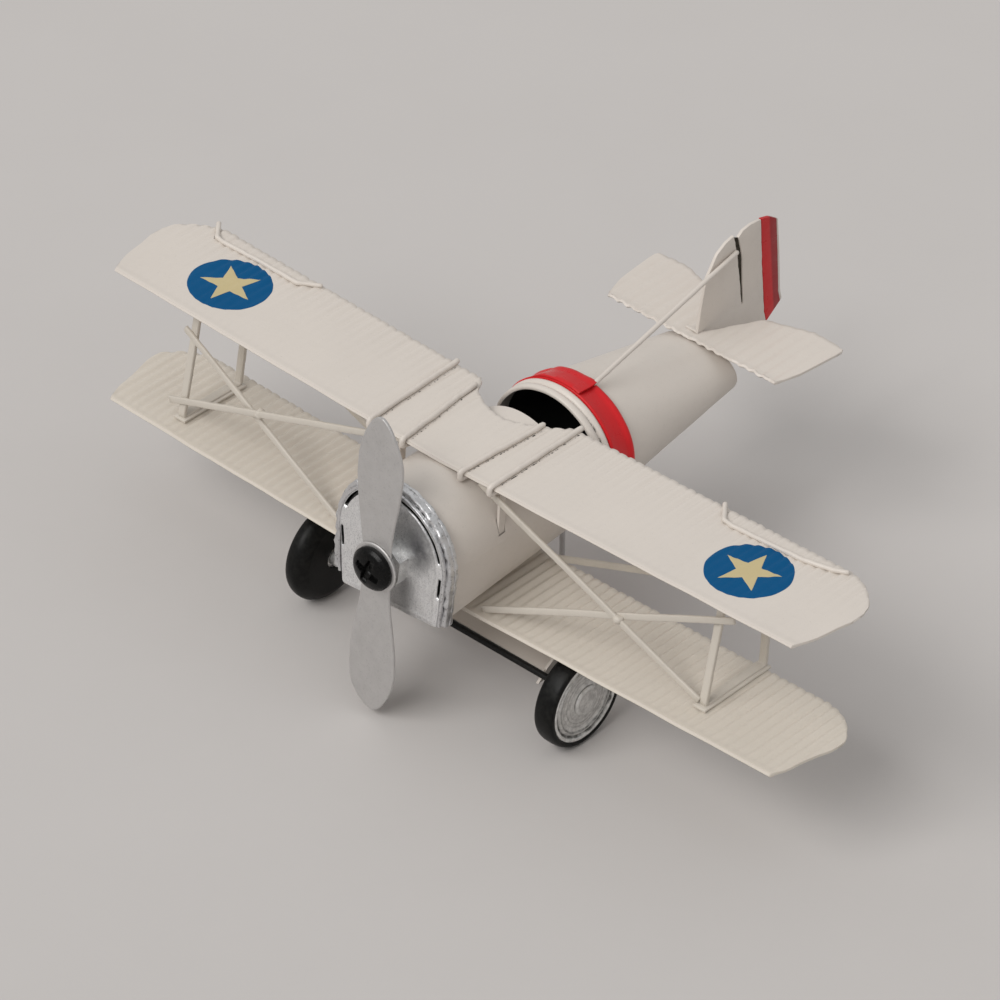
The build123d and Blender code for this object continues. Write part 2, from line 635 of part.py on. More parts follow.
with BuildPart() as rudder_trailing_edge:
    with BuildSketch(xz(0)):
        with BuildLine():
            Polyline((-98.2, 21.6), (-98.7, 21.3), (-99.75, 14.2), (-100.85, 5.3), (-101.5, 3.3), (-101.0, 2.9),
                     (-100.3, 5.3), (-99.2, 14.3), close=True)
        make_face()
    extrude(amount=FIN_T / 2, both=True)
rudder_trailing_edge.part.label = "rudder_trailing_edge"

with BuildPart() as tail_rod:
    pl, length = between((-47.9, 3.1, 13.25), (-87.2, 0.72, 19.8), up=(0, 1, 0))
    with BuildSketch(pl):
        Circle(0.42)
    extrude(amount=length)
    fillet(tail_rod.faces().sort_by(Axis.X)[0].edges(), radius=0.2)
tail_rod.part.label = "tail_rod"

SKID_R = 0.5
with BuildPart() as tail_skid:
    with BuildLine(xz(0)) as path:
        FilletPolyline((-44.8, -11.05), (-46.0, -Z0 + SKID_R), (-49.6, -Z0 + SKID_R), (-50.6, -Z0 + SKID_R + 1.0), radius=1.0)
    with BuildSketch(Plane(origin=path.line @ 0, z_dir=path.line % 0)):
        Circle(SKID_R)
    sweep()
tail_skid.part.label = "tail_skid"

# ---------------------------------------------------------------------------
# Nose hardware
# ---------------------------------------------------------------------------
with BuildPart() as hex_nut:
    with BuildSketch(yz(PLATE_X)):
        RegularPolygon(radius=3.85, side_count=6, major_radius=False, rotation=24)
        Circle(SCREW_R, mode=Mode.SUBTRACT)
    extrude(amount=2.1)
hex_nut.part.label = "hex_nut"

with BuildPart() as inner_lock_nut:
    with BuildSketch(yz(SHELL_X0 - 2.4)):
        RegularPolygon(radius=3.5, side_count=6, major_radius=False)
        Circle(SCREW_R, mode=Mode.SUBTRACT)
    extrude(amount=2.4)
inner_lock_nut.part.label = "inner_lock_nut"

with BuildPart() as rear_washer:
    with BuildSketch(yz(PLATE_X + 2.1)):
        Circle(3.3)
        Circle(SCREW_R, mode=Mode.SUBTRACT)
    extrude(amount=PROP_X0 - 0.05 - (PLATE_X + 2.1))
rear_washer.part.label = "rear_washer"

BLADE = [(0.0, 29.95), (1.3, 29.5), (2.7, 28.0), (4.2, 24.8), (4.95, 21.4), (4.95, 18.6), (4.5, 15.4), (4.0, 12.9),
         (3.55, 9.4), (3.2, 6.0), (3.05, 3.2)]
with BuildPart() as propeller:
    with BuildSketch(yz(PROP_X0)):
        for flip in (1, -1):
            with BuildLine():
                Spline(*[(y, flip * z) for y, z in BLADE[:]])
                Line((3.05, flip * 3.2), (3.05, 0))
                Line((3.05, 0), (-3.05, 0))
                Line((-3.05, 0), (-3.05, flip * 3.2))
                Spline(*[(-y, flip * z) for y, z in reversed(BLADE)])
            make_face()
        Circle(3.3)
        Circle(SCREW_R + PROP_FIT, mode=Mode.SUBTRACT)
    extrude(amount=PROP_X1 - PROP_X0)
propeller.part.label = "propeller"

with BuildPart() as front_washer:
    with BuildSketch(yz(PROP_X1 + 0.05)):
        Circle(4.6)
        Circle(SCREW_R, mode=Mode.SUBTRACT)
    extrude(amount=0.35)
front_washer.part.label = "front_washer"

HEAD_X = PROP_X1 + 0.4
with BuildPart() as propeller_screw:
    with BuildSketch(yz(-7.0)):
        Circle(SCREW_R)
    extrude(amount=7.0 + HEAD_X + 0.2)
    # pan head with a crowned top
    with BuildSketch(xz(0)):
        with BuildLine():
            Line((HEAD_X, 0), (HEAD_X, 4.0))
            Line((HEAD_X, 4.0), (HEAD_X + 1.1, 4.0))
            ThreePointArc((HEAD_X + 1.1, 4.0), (HEAD_X + 1.75, 2.6), (HEAD_X + 2.1, 0))
            Line((HEAD_X + 2.1, 0), (HEAD_X, 0))
        make_face()
    revolve(axis=Axis((X0, 0, Z0), (1, 0, 0)))
    # cross recess
    with BuildSketch(yz(HEAD_X + 0.75)):
        with Locations(Rotation(0, 0, -21)):
            Rectangle(4.3, 0.95)
            Rectangle(0.95, 4.3)
    extrude(amount=3, mode=Mode.SUBTRACT)
propeller_screw.part.label = "propeller_screw"

# ---------------------------------------------------------------------------
# Files
# ---------------------------------------------------------------------------
ASSEMBLY = [front_fuselage_shell, cowl_front_plate, cowl_ring, cockpit_rim, rear_fuselage_cone, red_band,
            red_band_strap_end, wing_saddle, upper_wing, lower_wing, landing_gear_bracket, axle, stabilizer, fin,
            rudder_stripe, rudder_trailing_edge, tail_rod, tail_skid, hex_nut, inner_lock_nut, rear_washer,
            propeller, front_washer, propeller_screw]
ASSEMBLY += list(beads.values()) + list(ailerons.values()) + list(struts.values()) + list(braces.values())
ASSEMBLY += list(blobs.values()) + list(cabanes.values())
for disc, star in roundels.values():
    ASSEMBLY += [disc, star]
for hub, tyre, cap in wheels.values():
    ASSEMBLY += [hub, tyre, cap]
for item in ASSEMBLY:
    export_step(item.part, "parts/%s.step" % item.part.label)
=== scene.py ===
import json
import math
import bpy
import bmesh
import numpy as np
from mathutils import Matrix, Vector, noise


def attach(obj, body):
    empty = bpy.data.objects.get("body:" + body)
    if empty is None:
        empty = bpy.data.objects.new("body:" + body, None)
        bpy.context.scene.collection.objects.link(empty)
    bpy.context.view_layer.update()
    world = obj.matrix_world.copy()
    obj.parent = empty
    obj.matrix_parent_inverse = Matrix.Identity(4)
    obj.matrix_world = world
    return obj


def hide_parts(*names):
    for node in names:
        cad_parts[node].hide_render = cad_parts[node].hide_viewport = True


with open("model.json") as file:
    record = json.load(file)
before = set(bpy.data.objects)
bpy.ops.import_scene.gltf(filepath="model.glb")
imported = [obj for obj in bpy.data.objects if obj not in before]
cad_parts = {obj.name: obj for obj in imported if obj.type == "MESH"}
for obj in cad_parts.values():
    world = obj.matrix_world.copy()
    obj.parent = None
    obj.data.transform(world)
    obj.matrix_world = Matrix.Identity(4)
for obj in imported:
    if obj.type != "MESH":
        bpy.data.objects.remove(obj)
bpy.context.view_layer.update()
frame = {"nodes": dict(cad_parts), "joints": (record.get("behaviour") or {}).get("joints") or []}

# Stations in millimetres: x = 0 just ahead of the cowl plate, height 0 on the
# propeller axis, y to port.  Everything below is placed from the propeller
# joint, which the CAD sets at station x = 2.2 on that axis.
JOINT = {j["name"]: j for j in frame["joints"]}
HUB = JOINT["propeller_spin"]["pos_m"]
X0, Z0 = HUB[0] * 1000 - 2.2, HUB[2] * 1000
NODES = frame["nodes"]


# ---------------------------------------------------------------------------
# mesh helpers
# ---------------------------------------------------------------------------
def to_m(points):
    p = np.array(points, float).reshape(-1, 3)
    p[:, 0] += X0
    p[:, 2] += Z0
    return p / 1000.0


def nz(p, scale, seed=0.0):
    return noise.noise(Vector((p[0] * scale + seed, p[1] * scale - seed, p[2] * scale + 2 * seed)))


def smoothstep(a, b, v):
    t = min(1.0, max(0.0, (v - a) / (b - a)))
    return t * t * (3 - 2 * t)


def piece(name, verts, faces, material, body="airframe", slot=None, replaces=(), sharp=38.0, weld=True):
    me = bpy.data.meshes.new(name)
    me.from_pydata(to_m(verts).tolist(), [], [list(f) for f in faces])
    bm = bmesh.new()
    bm.from_mesh(me)
    if weld:
        bmesh.ops.remove_doubles(bm, verts=bm.verts, dist=2e-7)
        bmesh.ops.dissolve_degenerate(bm, edges=bm.edges, dist=1e-7)
    bmesh.ops.recalc_face_normals(bm, faces=bm.faces)
    bm.to_mesh(me)
    bm.free()
    me.polygons.foreach_set("use_smooth", [True] * len(me.polygons))
    me.update()
    if sharp is not None:
        me.set_sharp_from_angle(angle=math.radians(sharp))
    ob = bpy.data.objects.new(name, me)
    bpy.context.scene.collection.objects.link(ob)
    me.materials.append(material)
    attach(ob, body)
    if replaces:
        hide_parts(*replaces)
    return ob


def join(*shapes):
    verts, faces = [], []
    for v, f in shapes:
        n = len(verts)
        verts += [tuple(p) for p in v]
        faces += [[i + n for i in g] for g in f]
    return verts, faces


def sheet(ys, le, te, mid, thick, nx, x_of_s=None, rim=0.4):
    """Thin curved sheet: columns at the stations ys run from le(y) back to te(y)."""
    ny = len(ys)
    verts, ring = [], []
    n = ny * (nx + 1)
    top, bot = [], []
    for i, y in enumerate(ys):
        lx, tx = le(y), te(y)
        for j in range(nx + 1):
            s = x_of_s(j / nx) if x_of_s else j / nx
            x = lx + (tx - lx) * s
            t = thick(x, y)
            inset = rim * t
            xi = min(max(x, tx + inset), lx - inset) if lx - tx > 2 * inset else (lx + tx) / 2
            yi = y + inset if i == 0 else (y - inset if i == ny - 1 else y)
            z = mid(x, y)
            top.append((xi, yi, z + t / 2))
            bot.append((xi, yi, z - t / 2))
    loop = [(0, j) for j in range(nx + 1)] + [(i, nx) for i in range(1, ny)] \
        + [(ny - 1, j) for j in range(nx - 1, -1, -1)] + [(i, 0) for i in range(ny - 2, 0, -1)]
    for i, j in loop:
        y = ys[i]
        s = x_of_s(j / nx) if x_of_s else j / nx
        x = le(y) + (te(y) - le(y)) * s
        ring.append((x, y, mid(x, y)))
    verts = top + bot + ring
    k = nx + 1
    faces = []
    for i in range(ny - 1):
        for j in range(nx):
            a, b, c, d = i * k + j, i * k + j + 1, (i + 1) * k + j + 1, (i + 1) * k + j
            faces.append((a, b, c, d))
            faces.append((n + d, n + c, n + b, n + a))
    m = len(loop)
    for q in range(m):
        a, b = loop[q], loop[(q + 1) % m]
        ia, ib = a[0] * k + a[1], b[0] * k + b[1]
        ra, rb = 2 * n + q, 2 * n + (q + 1) % m
        faces.append((ia, ib, rb, ra))
        faces.append((ra, rb, n + ib, n + ia))
    return verts, faces


def round_path(points, radius, steps=6):
    """Polyline with its corners rounded by arcs."""
    P = [np.array(p, float) for p in points]
    R = radius if isinstance(radius, (list, tuple)) else [radius] * (len(P) - 2)
    out = [P[0]]
    for i in range(1, len(P) - 1):
        a, b, c = P[i - 1], P[i], P[i + 1]
        u, v = (a - b), (c - b)
        lu, lv = np.linalg.norm(u), np.linalg.norm(v)
        u, v = u / lu, v / lv
        ang = math.acos(max(-1, min(1, float(u @ v))))
        if abs(math.pi - ang) < 0.02:
            out.append(b)
            continue
        d = min(R[i - 1] / math.tan(ang / 2), 0.48 * lu, 0.48 * lv)
        for k in range(steps + 1):
            t = k / steps
            p = (1 - t) ** 2 * (b + u * d) + 2 * t * (1 - t) * b + t ** 2 * (b + v * d)
            out.append(p)
    out.append(P[-1])
    return out


def densify(path, step):
    out = [path[0]]
    for a, b in zip(path[:-1], path[1:]):
        n = max(1, int(np.linalg.norm(b - a) / step))
        for k in range(1, n + 1):
            out.append(a + (b - a) * k / n)
    return out


def rounded_rect(hw, hh, r, n=3):
    pts = []
    for cx, cy, a0 in ((hw - r, hh - r, 0), (-hw + r, hh - r, 90), (-hw + r, -hh + r, 180), (hw - r, -hh + r, 270)):
        for k in range(n + 1):
            a = math.radians(a0 + 90 * k / n)
            pts.append((cx + r * math.cos(a), cy + r * math.sin(a)))
    return pts


def circle(r, n=12):
    return [(r * math.cos(2 * math.pi * k / n), r * math.sin(2 * math.pi * k / n)) for k in range(n)]


def sweep(path, section, ref=(0, 0, 1), lumps=0.0, lump_scale=0.6, seed=0.0, scale=None, cap=0.35):
    """Closed tube of a section along a path; ends are slightly rounded."""
    P = [np.array(p, float) for p in path]
    ref = np.array(ref, float)
    m = len(section)
    rad = max(math.hypot(*s) for s in section)
    rings = []
    n = len(P)
    for i, p in enumerate(P):
        t = P[min(i + 1, n - 1)] - P[max(i - 1, 0)]
        t /= np.linalg.norm(t)
        b = ref - (ref @ t) * t
        b /= np.linalg.norm(b)
        q = np.cross(b, t)
        f = scale(i / (n - 1)) if scale else 1.0
        rings.append((p, t, q, b, f))
    first, last = rings[0], rings[-1]
    seq = []
    for k, s in ((0.0, 0.55), (cap * 0.55, 0.86)):
        seq.append((first[0] - first[1] * (cap - k) * rad, first[2], first[3], first[4] * s))
    for p, t, q, b, f in rings:
        seq.append((p, q, b, f))
    for k, s in ((cap * 0.55, 0.86), (0.0, 0.55)):
        seq.append((last[0] + last[1] * (cap - k) * rad, last[2], last[3], last[4] * s))
    verts, faces = [], []
    for c, q, b, f in seq:
        for u, v in section:
            d = q * u * f + b * v * f
            if lumps:
                g = c + d
                d = d * (1 + lumps / rad * nz(g, lump_scale, seed))
            verts.append(tuple(c + d))
    for i in range(len(seq) - 1):
        for j in range(m):
            a, b2 = i * m + j, i * m + (j + 1) % m
            faces.append((a, b2, b2 + m, a + m))
    for base, c in ((0, seq[0][0]), ((len(seq) - 1) * m, seq[-1][0])):
        verts.append(tuple(c))
        for j in range(m):
            faces.append((len(verts) - 1, base + j, base + (j + 1) % m))
    return verts, faces


def lathe(profile, seg, place, closed=False, wobble=None):
    """Revolves (x, r) pairs; place(x, r, angle) gives the point."""
    verts, faces = [], []
    m = len(profile)
    for k in range(seg):
        a = 2 * math.pi * k / seg
        for x, r in profile:
            dr = wobble(x, r, a) if wobble else 0.0
            verts.append(place(x, r + dr, a))
    for k in range(seg):
        k2 = (k + 1) % seg
        for j in range(m if closed else m - 1):
            j2 = (j + 1) % m
            faces.append((k * m + j, k * m + j2, k2 * m + j2, k2 * m + j))
    return verts, faces


def fan_cap(verts, faces, ring, centre):
    verts.append(centre)
    c = len(verts) - 1
    for a, b in zip(ring, ring[1:] + ring[:1]):
        faces.append((c, a, b))


def blob(centre, radii, lumps=0.12, seed=0.0, sub=3):
    bm = bmesh.new()
    bmesh.ops.create_icosphere(bm, subdivisions=sub, radius=1.0)
    verts = []
    for v in bm.verts:
        p = np.array(v.co)
        f = 1 + lumps * 2 * nz(p, 1.1, seed + 3.3)
        verts.append(tuple(np.array(centre) + p * np.array(radii) * f))
    faces = [[v.index for v in f.verts] for f in bm.faces]
    bm.free()
    return verts, faces


# ---------------------------------------------------------------------------
# material helpers
# ---------------------------------------------------------------------------
class Mat:
    def __init__(self, name):
        self.m = bpy.data.materials.new(name)
        self.m.use_nodes = True
        self.t = self.m.node_tree
        self.t.nodes.clear()
        self.out = self.n("ShaderNodeOutputMaterial")
        self.b = self.n("ShaderNodeBsdfPrincipled")
        self.link(self.b.outputs[0], self.out.inputs["Surface"])
        tc = self.n("ShaderNodeTexCoord")
        mp = self.n("ShaderNodeMapping")
        mp.inputs["Location"].default_value = (-X0, 0, -Z0)
        mp.inputs["Scale"].default_value = (1000, 1000, 1000)
        self.link(tc.outputs["Object"], mp.inputs["Vector"])
        self.pos = mp.outputs["Vector"]

    def n(self, kind, **kw):
        node = self.t.nodes.new(kind)
        for k, v in kw.items():
            setattr(node, k, v)
        return node

    def link(self, a, b):
        self.t.links.new(a, b)

    def put(self, sock, value):
        if isinstance(value, (int, float)):
            sock.default_value = value
        elif isinstance(value, (tuple, list)):
            sock.default_value = value
        else:
            self.link(value, sock)

    def math(self, op, a, b=None, c=None, clamp=False):
        node = self.n("ShaderNodeMath", operation=op, use_clamp=clamp)
        self.put(node.inputs[0], a)
        if b is not None:
            self.put(node.inputs[1], b)
        if c is not None:
            self.put(node.inputs[2], c)
        return node.outputs[0]

    def noise(self, scale, detail=3.0, rough=0.55, vec=None, stretch=None, dist=0.0):
        node = self.n("ShaderNodeTexNoise")
        node.inputs["Scale"].default_value = scale
        node.inputs["Detail"].default_value = detail
        node.inputs["Roughness"].default_value = rough
        node.inputs["Distortion"].default_value = dist
        v = vec or self.pos
        if stretch:
            mp = self.n("ShaderNodeMapping")
            mp.inputs["Scale"].default_value = stretch
            self.link(v, mp.inputs["Vector"])
            v = mp.outputs["Vector"]
        self.link(v, node.inputs["Vector"])
        return node.outputs[0]

    def voronoi(self, scale, feature="F1", out="Distance", vec=None, rand=1.0):
        node = self.n("ShaderNodeTexVoronoi", feature=feature)
        node.inputs["Scale"].default_value = scale
        node.inputs["Randomness"].default_value = rand
        self.link(vec or self.pos, node.inputs["Vector"])
        return node.outputs[out]

    def ramp(self, fac, lo, hi, a=0.0, b=1.0):
        node = self.n("ShaderNodeMapRange")
        node.clamp = True
        self.put(node.inputs["Value"], fac)
        node.inputs["From Min"].default_value = lo
        node.inputs["From Max"].default_value = hi
        node.inputs["To Min"].default_value = a
        node.inputs["To Max"].default_value = b
        return node.outputs["Result"]

    def mix(self, fac, a, b):
        node = self.n("ShaderNodeMix", data_type="RGBA")
        self.put(node.inputs[0], fac)
        for sock, v in ((node.inputs[6], a), (node.inputs[7], b)):
            if isinstance(v, tuple):
                sock.default_value = (*v, 1.0) if len(v) == 3 else v
            else:
                self.link(v, sock)
        return node.outputs[2]

    def bump(self, height, strength=0.3, dist=0.1, prev=None):
        node = self.n("ShaderNodeBump")
        node.inputs["Strength"].default_value = strength
        node.inputs["Distance"].default_value = dist / 1000.0
        self.link(height, node.inputs["Height"])
        if prev is not None:
            self.link(prev, node.inputs["Normal"])
        return node.outputs["Normal"]

    def xyz(self):
        node = self.n("ShaderNodeSeparateXYZ")
        self.link(self.pos, node.inputs[0])
        return node.outputs

    def set(self, **kw):
        names = {"color": "Base Color", "rough": "Roughness", "metal": "Metallic", "normal": "Normal",
                 "spec": "Specular IOR Level", "coat": "Coat Weight", "coat_rough": "Coat Roughness",
                 "sheen": "Sheen Weight"}
        for k, v in kw.items():
            s = self.b.inputs[names[k]]
            if isinstance(v, tuple) and len(v) == 3 and k == "color":
                v = (*v, 1.0)
            self.put(s, v)
        return self


def paint(name, base, dark=None, rough=0.42, grime=0.5, strokes=(0.25, 1.6, 1.6), bump=0.35, marks_and_shade=None, mark_and_shade_color=(0.035, 0.03, 0.026)):
    """Brushed-on satin enamel: faint brush marks, tiny pits, slight colour drift, and an optional masked second colour:
    dark marks on the wings and rim, painted shade on the rudder stripe.
    """
    m = Mat(name)
    dark = dark or tuple(c * 0.86 for c in base)
    big = m.noise(0.055, 3, 0.6)
    mid = m.noise(0.55, 4, 0.6)
    brush = m.noise(1.0, 4, 0.6, stretch=strokes)
    col = m.mix(m.ramp(big, 0.35, 0.7, 0.0, grime * 0.6), base, dark)
    col = m.mix(m.ramp(mid, 0.55, 0.8, 0.0, grime * 0.35), col, tuple(c * 0.8 for c in base))
    fine = m.noise(9.0, 2, 0.5)
    # pin-prick specks in the enamel
    speck = m.ramp(m.noise(5.5, 1, 0.4), 0.735, 0.76)
    col = m.mix(m.math("MULTIPLY", speck, 0.35), col, tuple(c * 0.45 for c in base))
    if marks_and_shade is not None:
        mask = marks_and_shade(m)
        col = m.mix(mask, col, mark_and_shade_color)
    rgh = m.ramp(mid, 0.3, 0.7, rough - 0.06, rough + 0.08)
    nrm = m.bump(brush, bump * 0.55, 0.10)
    nrm = m.bump(mid, bump * 0.6, 0.16, nrm)
    nrm = m.bump(fine, bump * 0.3, 0.02, nrm)
    m.set(color=col, rough=rgh, spec=0.42, normal=nrm)
    return m.m


def line_mask(m, x0, y0, x1, y1, width, gap_scale, lo, hi, xmin=None, xmax=None):
    """Broken dark hairline on the sheet along a straight line between two plan points."""
    x, y, _ = m.xyz()
    L = math.hypot(x1 - x0, y1 - y0)
    ux, uy = (x1 - x0) / L, (y1 - y0) / L
    # signed distance and run along the line
    dx = m.math("SUBTRACT", x, x0)
    dy = m.math("SUBTRACT", y, y0)
    along = m.math("ADD", m.math("MULTIPLY", dx, ux), m.math("MULTIPLY", dy, uy))
    off = m.math("SUBTRACT", m.math("MULTIPLY", dx, uy), m.math("MULTIPLY", dy, ux))
    wob = m.math("MULTIPLY", m.math("SUBTRACT", m.noise(1.4, 2, 0.5), 0.5), 0.22)
    off = m.math("ABSOLUTE", m.math("ADD", off, wob))
    near = m.ramp(off, width * 0.6, width * 1.25, 1.0, 0.0)
    inside = m.math("MULTIPLY", m.math("GREATER_THAN", along, 0.0), m.math("LESS_THAN", along, L))
    broken = m.ramp(m.noise(gap_scale, 2, 0.6), lo, hi)
    return m.math("MULTIPLY", m.math("MULTIPLY", near, inside), broken)


def add_masks(m, masks):
    out = masks[0]
    for k in masks[1:]:
        out = m.math("MAXIMUM", out, k)
    return out


def metal(name, base, rough=0.35, vary=0.12, spots=None, bump=0.25, bump_scale=3.0, metallic=1.0, dark=0.6, cell=None):
    m = Mat(name)
    a = m.noise(bump_scale, 4, 0.6)
    b = m.noise(0.5, 3, 0.6)
    col = m.mix(m.ramp(b, 0.35, 0.7, 0.0, 0.7), base, tuple(c * (1 - vary) for c in base))
    if spots:
        s = m.ramp(m.noise(spots, 2, 0.6), 0.58, 0.68)
        col = m.mix(m.math("MULTIPLY", s, 0.55), col, tuple(c * dark for c in base))
    rgh = m.ramp(a, 0.3, 0.7, rough - 0.08, rough + 0.12)
    nrm = m.bump(a, bump, 0.08)
    if cell:
        v = m.voronoi(cell, "SMOOTH_F1")
        nrm = m.bump(v, 0.5, 0.25, nrm)
    m.set(color=col, rough=rgh, metal=metallic, normal=nrm)
    return m.m


# ---------------------------------------------------------------------------
# shape of the wings (same figures as the CAD)
# ---------------------------------------------------------------------------
UP_LE, UP_TE, UP_Z, UP_DIH, UP_PITCH = -12.5, -35.0, 13.5, 12.67 / 455.9, 1.85
LO_LE, LO_TE, LO_Z, LO_DIH, LO_PITCH = -10.6, -32.4, -11.9, 11.73 / 450.8, 1.85
SHEET = 0.5

UP_FRONT = ([0, 75.2, 76.3, 76.9, 77.4, 78.0, 78.3], [-12.5, -12.5, -15.2, -17.2, -21.2, -23.6, -24.6])
UP_REAR = ([0, 69.6, 71.6, 73.4, 75.0, 76.5, 77.5, 78.1, 78.3], [-35.0, -35.0, -34.5, -33.5, -32.4, -30.9, -29.3, -27.6, -26.0])
LO_FRONT = ([0, 74.4, 75.4, 76.2, 76.9, 77.4, 77.8], [-10.6, -10.6, -13.4, -17.0, -20.5, -22.6, -24.3])
LO_REAR = ([0, 69.2, 71.4, 73.6, 75.4, 76.8, 77.5, 77.8], [-32.4, -32.4, -31.9, -30.9, -29.5, -27.6, -26.4, -25.4])
UP_CUT = ([-11.6, -10.2, -8.6, -5.2, -2.8, -0.6, 1.8, 4.6, 7.4, 9.4, 10.8], [-35.0, -34.4, -31.7, -29.95, -29.3, -29.2, -29.95, -31.4, -32.9, -34.5, -35.0])


def edge_ripple(y, seed, amount=0.16):
    return amount * (0.6 * math.sin(2 * math.pi * y / UP_PITCH + 0.8) + 1.3 * nz((y, 0, 0), 0.55, seed))


def up_le(y):
    return float(np.interp(abs(y), *UP_FRONT)) + 0.10 * nz((y, 0, 0), 0.12, 4.0)


def up_te(y):
    a = abs(y)
    if a < 10.8:
        return max(float(np.interp(y, *UP_CUT)), -35.0) + edge_ripple(y, 7.0, 0.10) + 0.1
    return float(np.interp(a, *UP_REAR)) + edge_ripple(y, 7.0, 0.17) + 0.12


def crest(y, pitch, seed):
    """Rounded corrugation; every crest is a little different."""
    ph = 2 * math.pi * y / pitch + 0.9 * nz((y, 0, 0), 0.15, seed)
    w = math.sin(ph)
    return (w + 0.22 * math.sin(2 * ph + 0.6)) * (1 + 0.5 * nz((y, 0, 0), 0.5, seed + 9))


def up_mid(x, y):
    k = smoothstep(0.9, 2.6, UP_LE - x)
    back = smoothstep(6, 22, UP_LE - x)
    a = 0.035 + 0.125 * back ** 2
    # hand-pressed sheet: shallow waves along the span
    sag = 0.10 * nz((x * 0.5, y, 0), 0.11, 2.0)
    droop = -0.10 * smoothstep(1.0, 0.0, UP_LE - x)
    return UP_Z + UP_DIH * abs(y) + k * a * crest(y, UP_PITCH, 1.0) + sag + droop


def up_thick(x, y):
    return SHEET + 0.22 * (1 - smoothstep(0.75, 1.25, UP_LE - x))


def lo_le(y):
    return float(np.interp(abs(y), *LO_FRONT)) + 0.10 * nz((y, 0, 0), 0.12, 14.0)


def lo_te(y):
    return float(np.interp(abs(y), *LO_REAR)) + edge_ripple(y, 17.0, 0.17) + 0.12


def lo_mid(x, y):
    k = smoothstep(0.9, 2.4, LO_LE - x)
    back = smoothstep(2, 18, LO_LE - x)
    a = 0.11 + 0.08 * back
    sag = 0.09 * nz((x * 0.5, y, 0), 0.11, 12.0)
    droop = -0.08 * smoothstep(1.0, 0.0, LO_LE - x)
    return LO_Z + LO_DIH * abs(y) + k * a * crest(y, LO_PITCH, 11.0) + sag + droop


def lo_thick(x, y):
    return SHEET + 0.25 * (1 - smoothstep(0.75, 1.25, LO_LE - x))


def span_rows(tip, step):
    n = int(75.0 / step)
    a = [i * 75.0 / n for i in range(n + 1)] + [75.2, 75.6, 76.0, 76.4, 76.8, 77.1, 77.4, 77.7, 77.9, 78.1, 78.25]
    a = [v for v in a if v < tip] + [tip]
    return [-v for v in a[:0:-1]] + a


def lead_dense(s):
    """More columns near the leading edge so that the folded lip has a shape."""
    return s ** 1.35


# ---------------------------------------------------------------------------
# materials
# ---------------------------------------------------------------------------
CREAM = (0.665, 0.610, 0.555)
CREAM_LOW = (0.660, 0.605, 0.530)

BEADS = {
    "wing_wire_outer_starboard": (-15.4, -16.4, -34.9),
    "wing_wire_inner_starboard": (-7.9, -9.9, -32.1),
    "wing_wire_inner_port": (5.0, 5.9, -31.6),
    "wing_wire_outer_port": (11.5, 11.2, -35.2),
}


def upper_marks(m):
    masks = []
    for name, (yl, yt, xt) in BEADS.items():
        strong = name.endswith("port")
        masks.append(line_mask(m, UP_LE - 0.8, yl + 0.66, xt + 1.0, yt + 0.66, 0.125, 1.5, 0.50 if strong else 0.55, 0.60 if strong else 0.64))
        masks.append(line_mask(m, UP_LE - 0.6, yl - 0.62, xt + 1.0, yt - 0.62, 0.12, 1.1, 0.57, 0.66))
    # hairlines beside the aileron wires
    masks.append(line_mask(m, -31.0, 45.6, -34.8, 42.6, 0.14, 1.2, 0.50, 0.60))
    masks.append(line_mask(m, -31.7, 53.0, -32.0, 66.8, 0.12, 0.9, 0.56, 0.66))
    masks.append(line_mask(m, -32.6, 66.8, -34.0, 69.4, 0.16, 1.2, 0.46, 0.60))
    masks.append(line_mask(m, -31.2, -69.5, -34.8, -72.5, 0.12, 1.1, 0.56, 0.64))
    return add_masks(m, masks)


M_UPPER = paint("cream_paint_top", CREAM, rough=0.40, grime=0.35, bump=0.30, marks_and_shade=upper_marks)
M_LOWER = paint("cream_paint_low", CREAM_LOW, rough=0.42, grime=0.5, bump=0.32)
M_BODY = paint("cream_paint_body", CREAM, rough=0.38, grime=0.4, bump=0.25, strokes=(1.4, 0.3, 0.3))
M_WIRE = paint("cream_paint_wire", CREAM, rough=0.40, grime=0.5, bump=0.3)
M_STRIP = paint("painted_strip", (0.600, 0.555, 0.490), rough=0.42, grime=0.9, bump=0.35)
M_RED = paint("red_paint", (0.66, 0.013, 0.017), dark=(0.46, 0.008, 0.012), rough=0.30, grime=0.8, bump=0.45)
M_RED.node_tree.nodes["Principled BSDF"].inputs["Specular IOR Level"].default_value = 0.30


def painted_stripe_shade(m):
    """Painted shade: darkens the rear half of the rudder stripe as if it were folded away from the light; the stripe
    plate itself is flat.
    """
    x, y, z = m.xyz()
    d = m.math("SUBTRACT", m.math("MULTIPLY_ADD", z, 0.1515, -97.53), x)
    return m.ramp(m.math("ADD", d, m.math("MULTIPLY", m.noise(0.6, 2, 0.5), 0.3)), 2.0, 2.45, 0.0, 0.85)


# the rudder stripe's darker rear half is painted shade
M_STRIPE = paint("red_paint_rudder", (0.60, 0.012, 0.016), dark=(0.42, 0.008, 0.012), rough=0.32, grime=0.8, bump=0.45, marks_and_shade=painted_stripe_shade,
                 mark_and_shade_color=(0.27, 0.004, 0.008))
M_STRIPE.node_tree.nodes["Principled BSDF"].inputs["Specular IOR Level"].default_value = 0.30
M_BLUE = paint("blue_paint", (0.000, 0.082, 0.220), dark=(0.0, 0.066, 0.18), rough=0.50, grime=0.6, bump=0.35)
M_BLUE.node_tree.nodes["Principled BSDF"].inputs["Specular IOR Level"].default_value = 0.12
M_STAR = paint("star_paint", (0.56, 0.465, 0.255), dark=(0.50, 0.40, 0.20), rough=0.42, grime=0.6, bump=0.35)
M_RING = metal("cowl_ring_solder", (0.74, 0.74, 0.75), rough=0.36, vary=0.35, spots=2.3, bump=1.0, bump_scale=2.4, dark=0.22)
M_SOLDER = metal("solder", (0.60, 0.59, 0.56), rough=0.42, vary=0.25, bump=0.5, bump_scale=1.2)
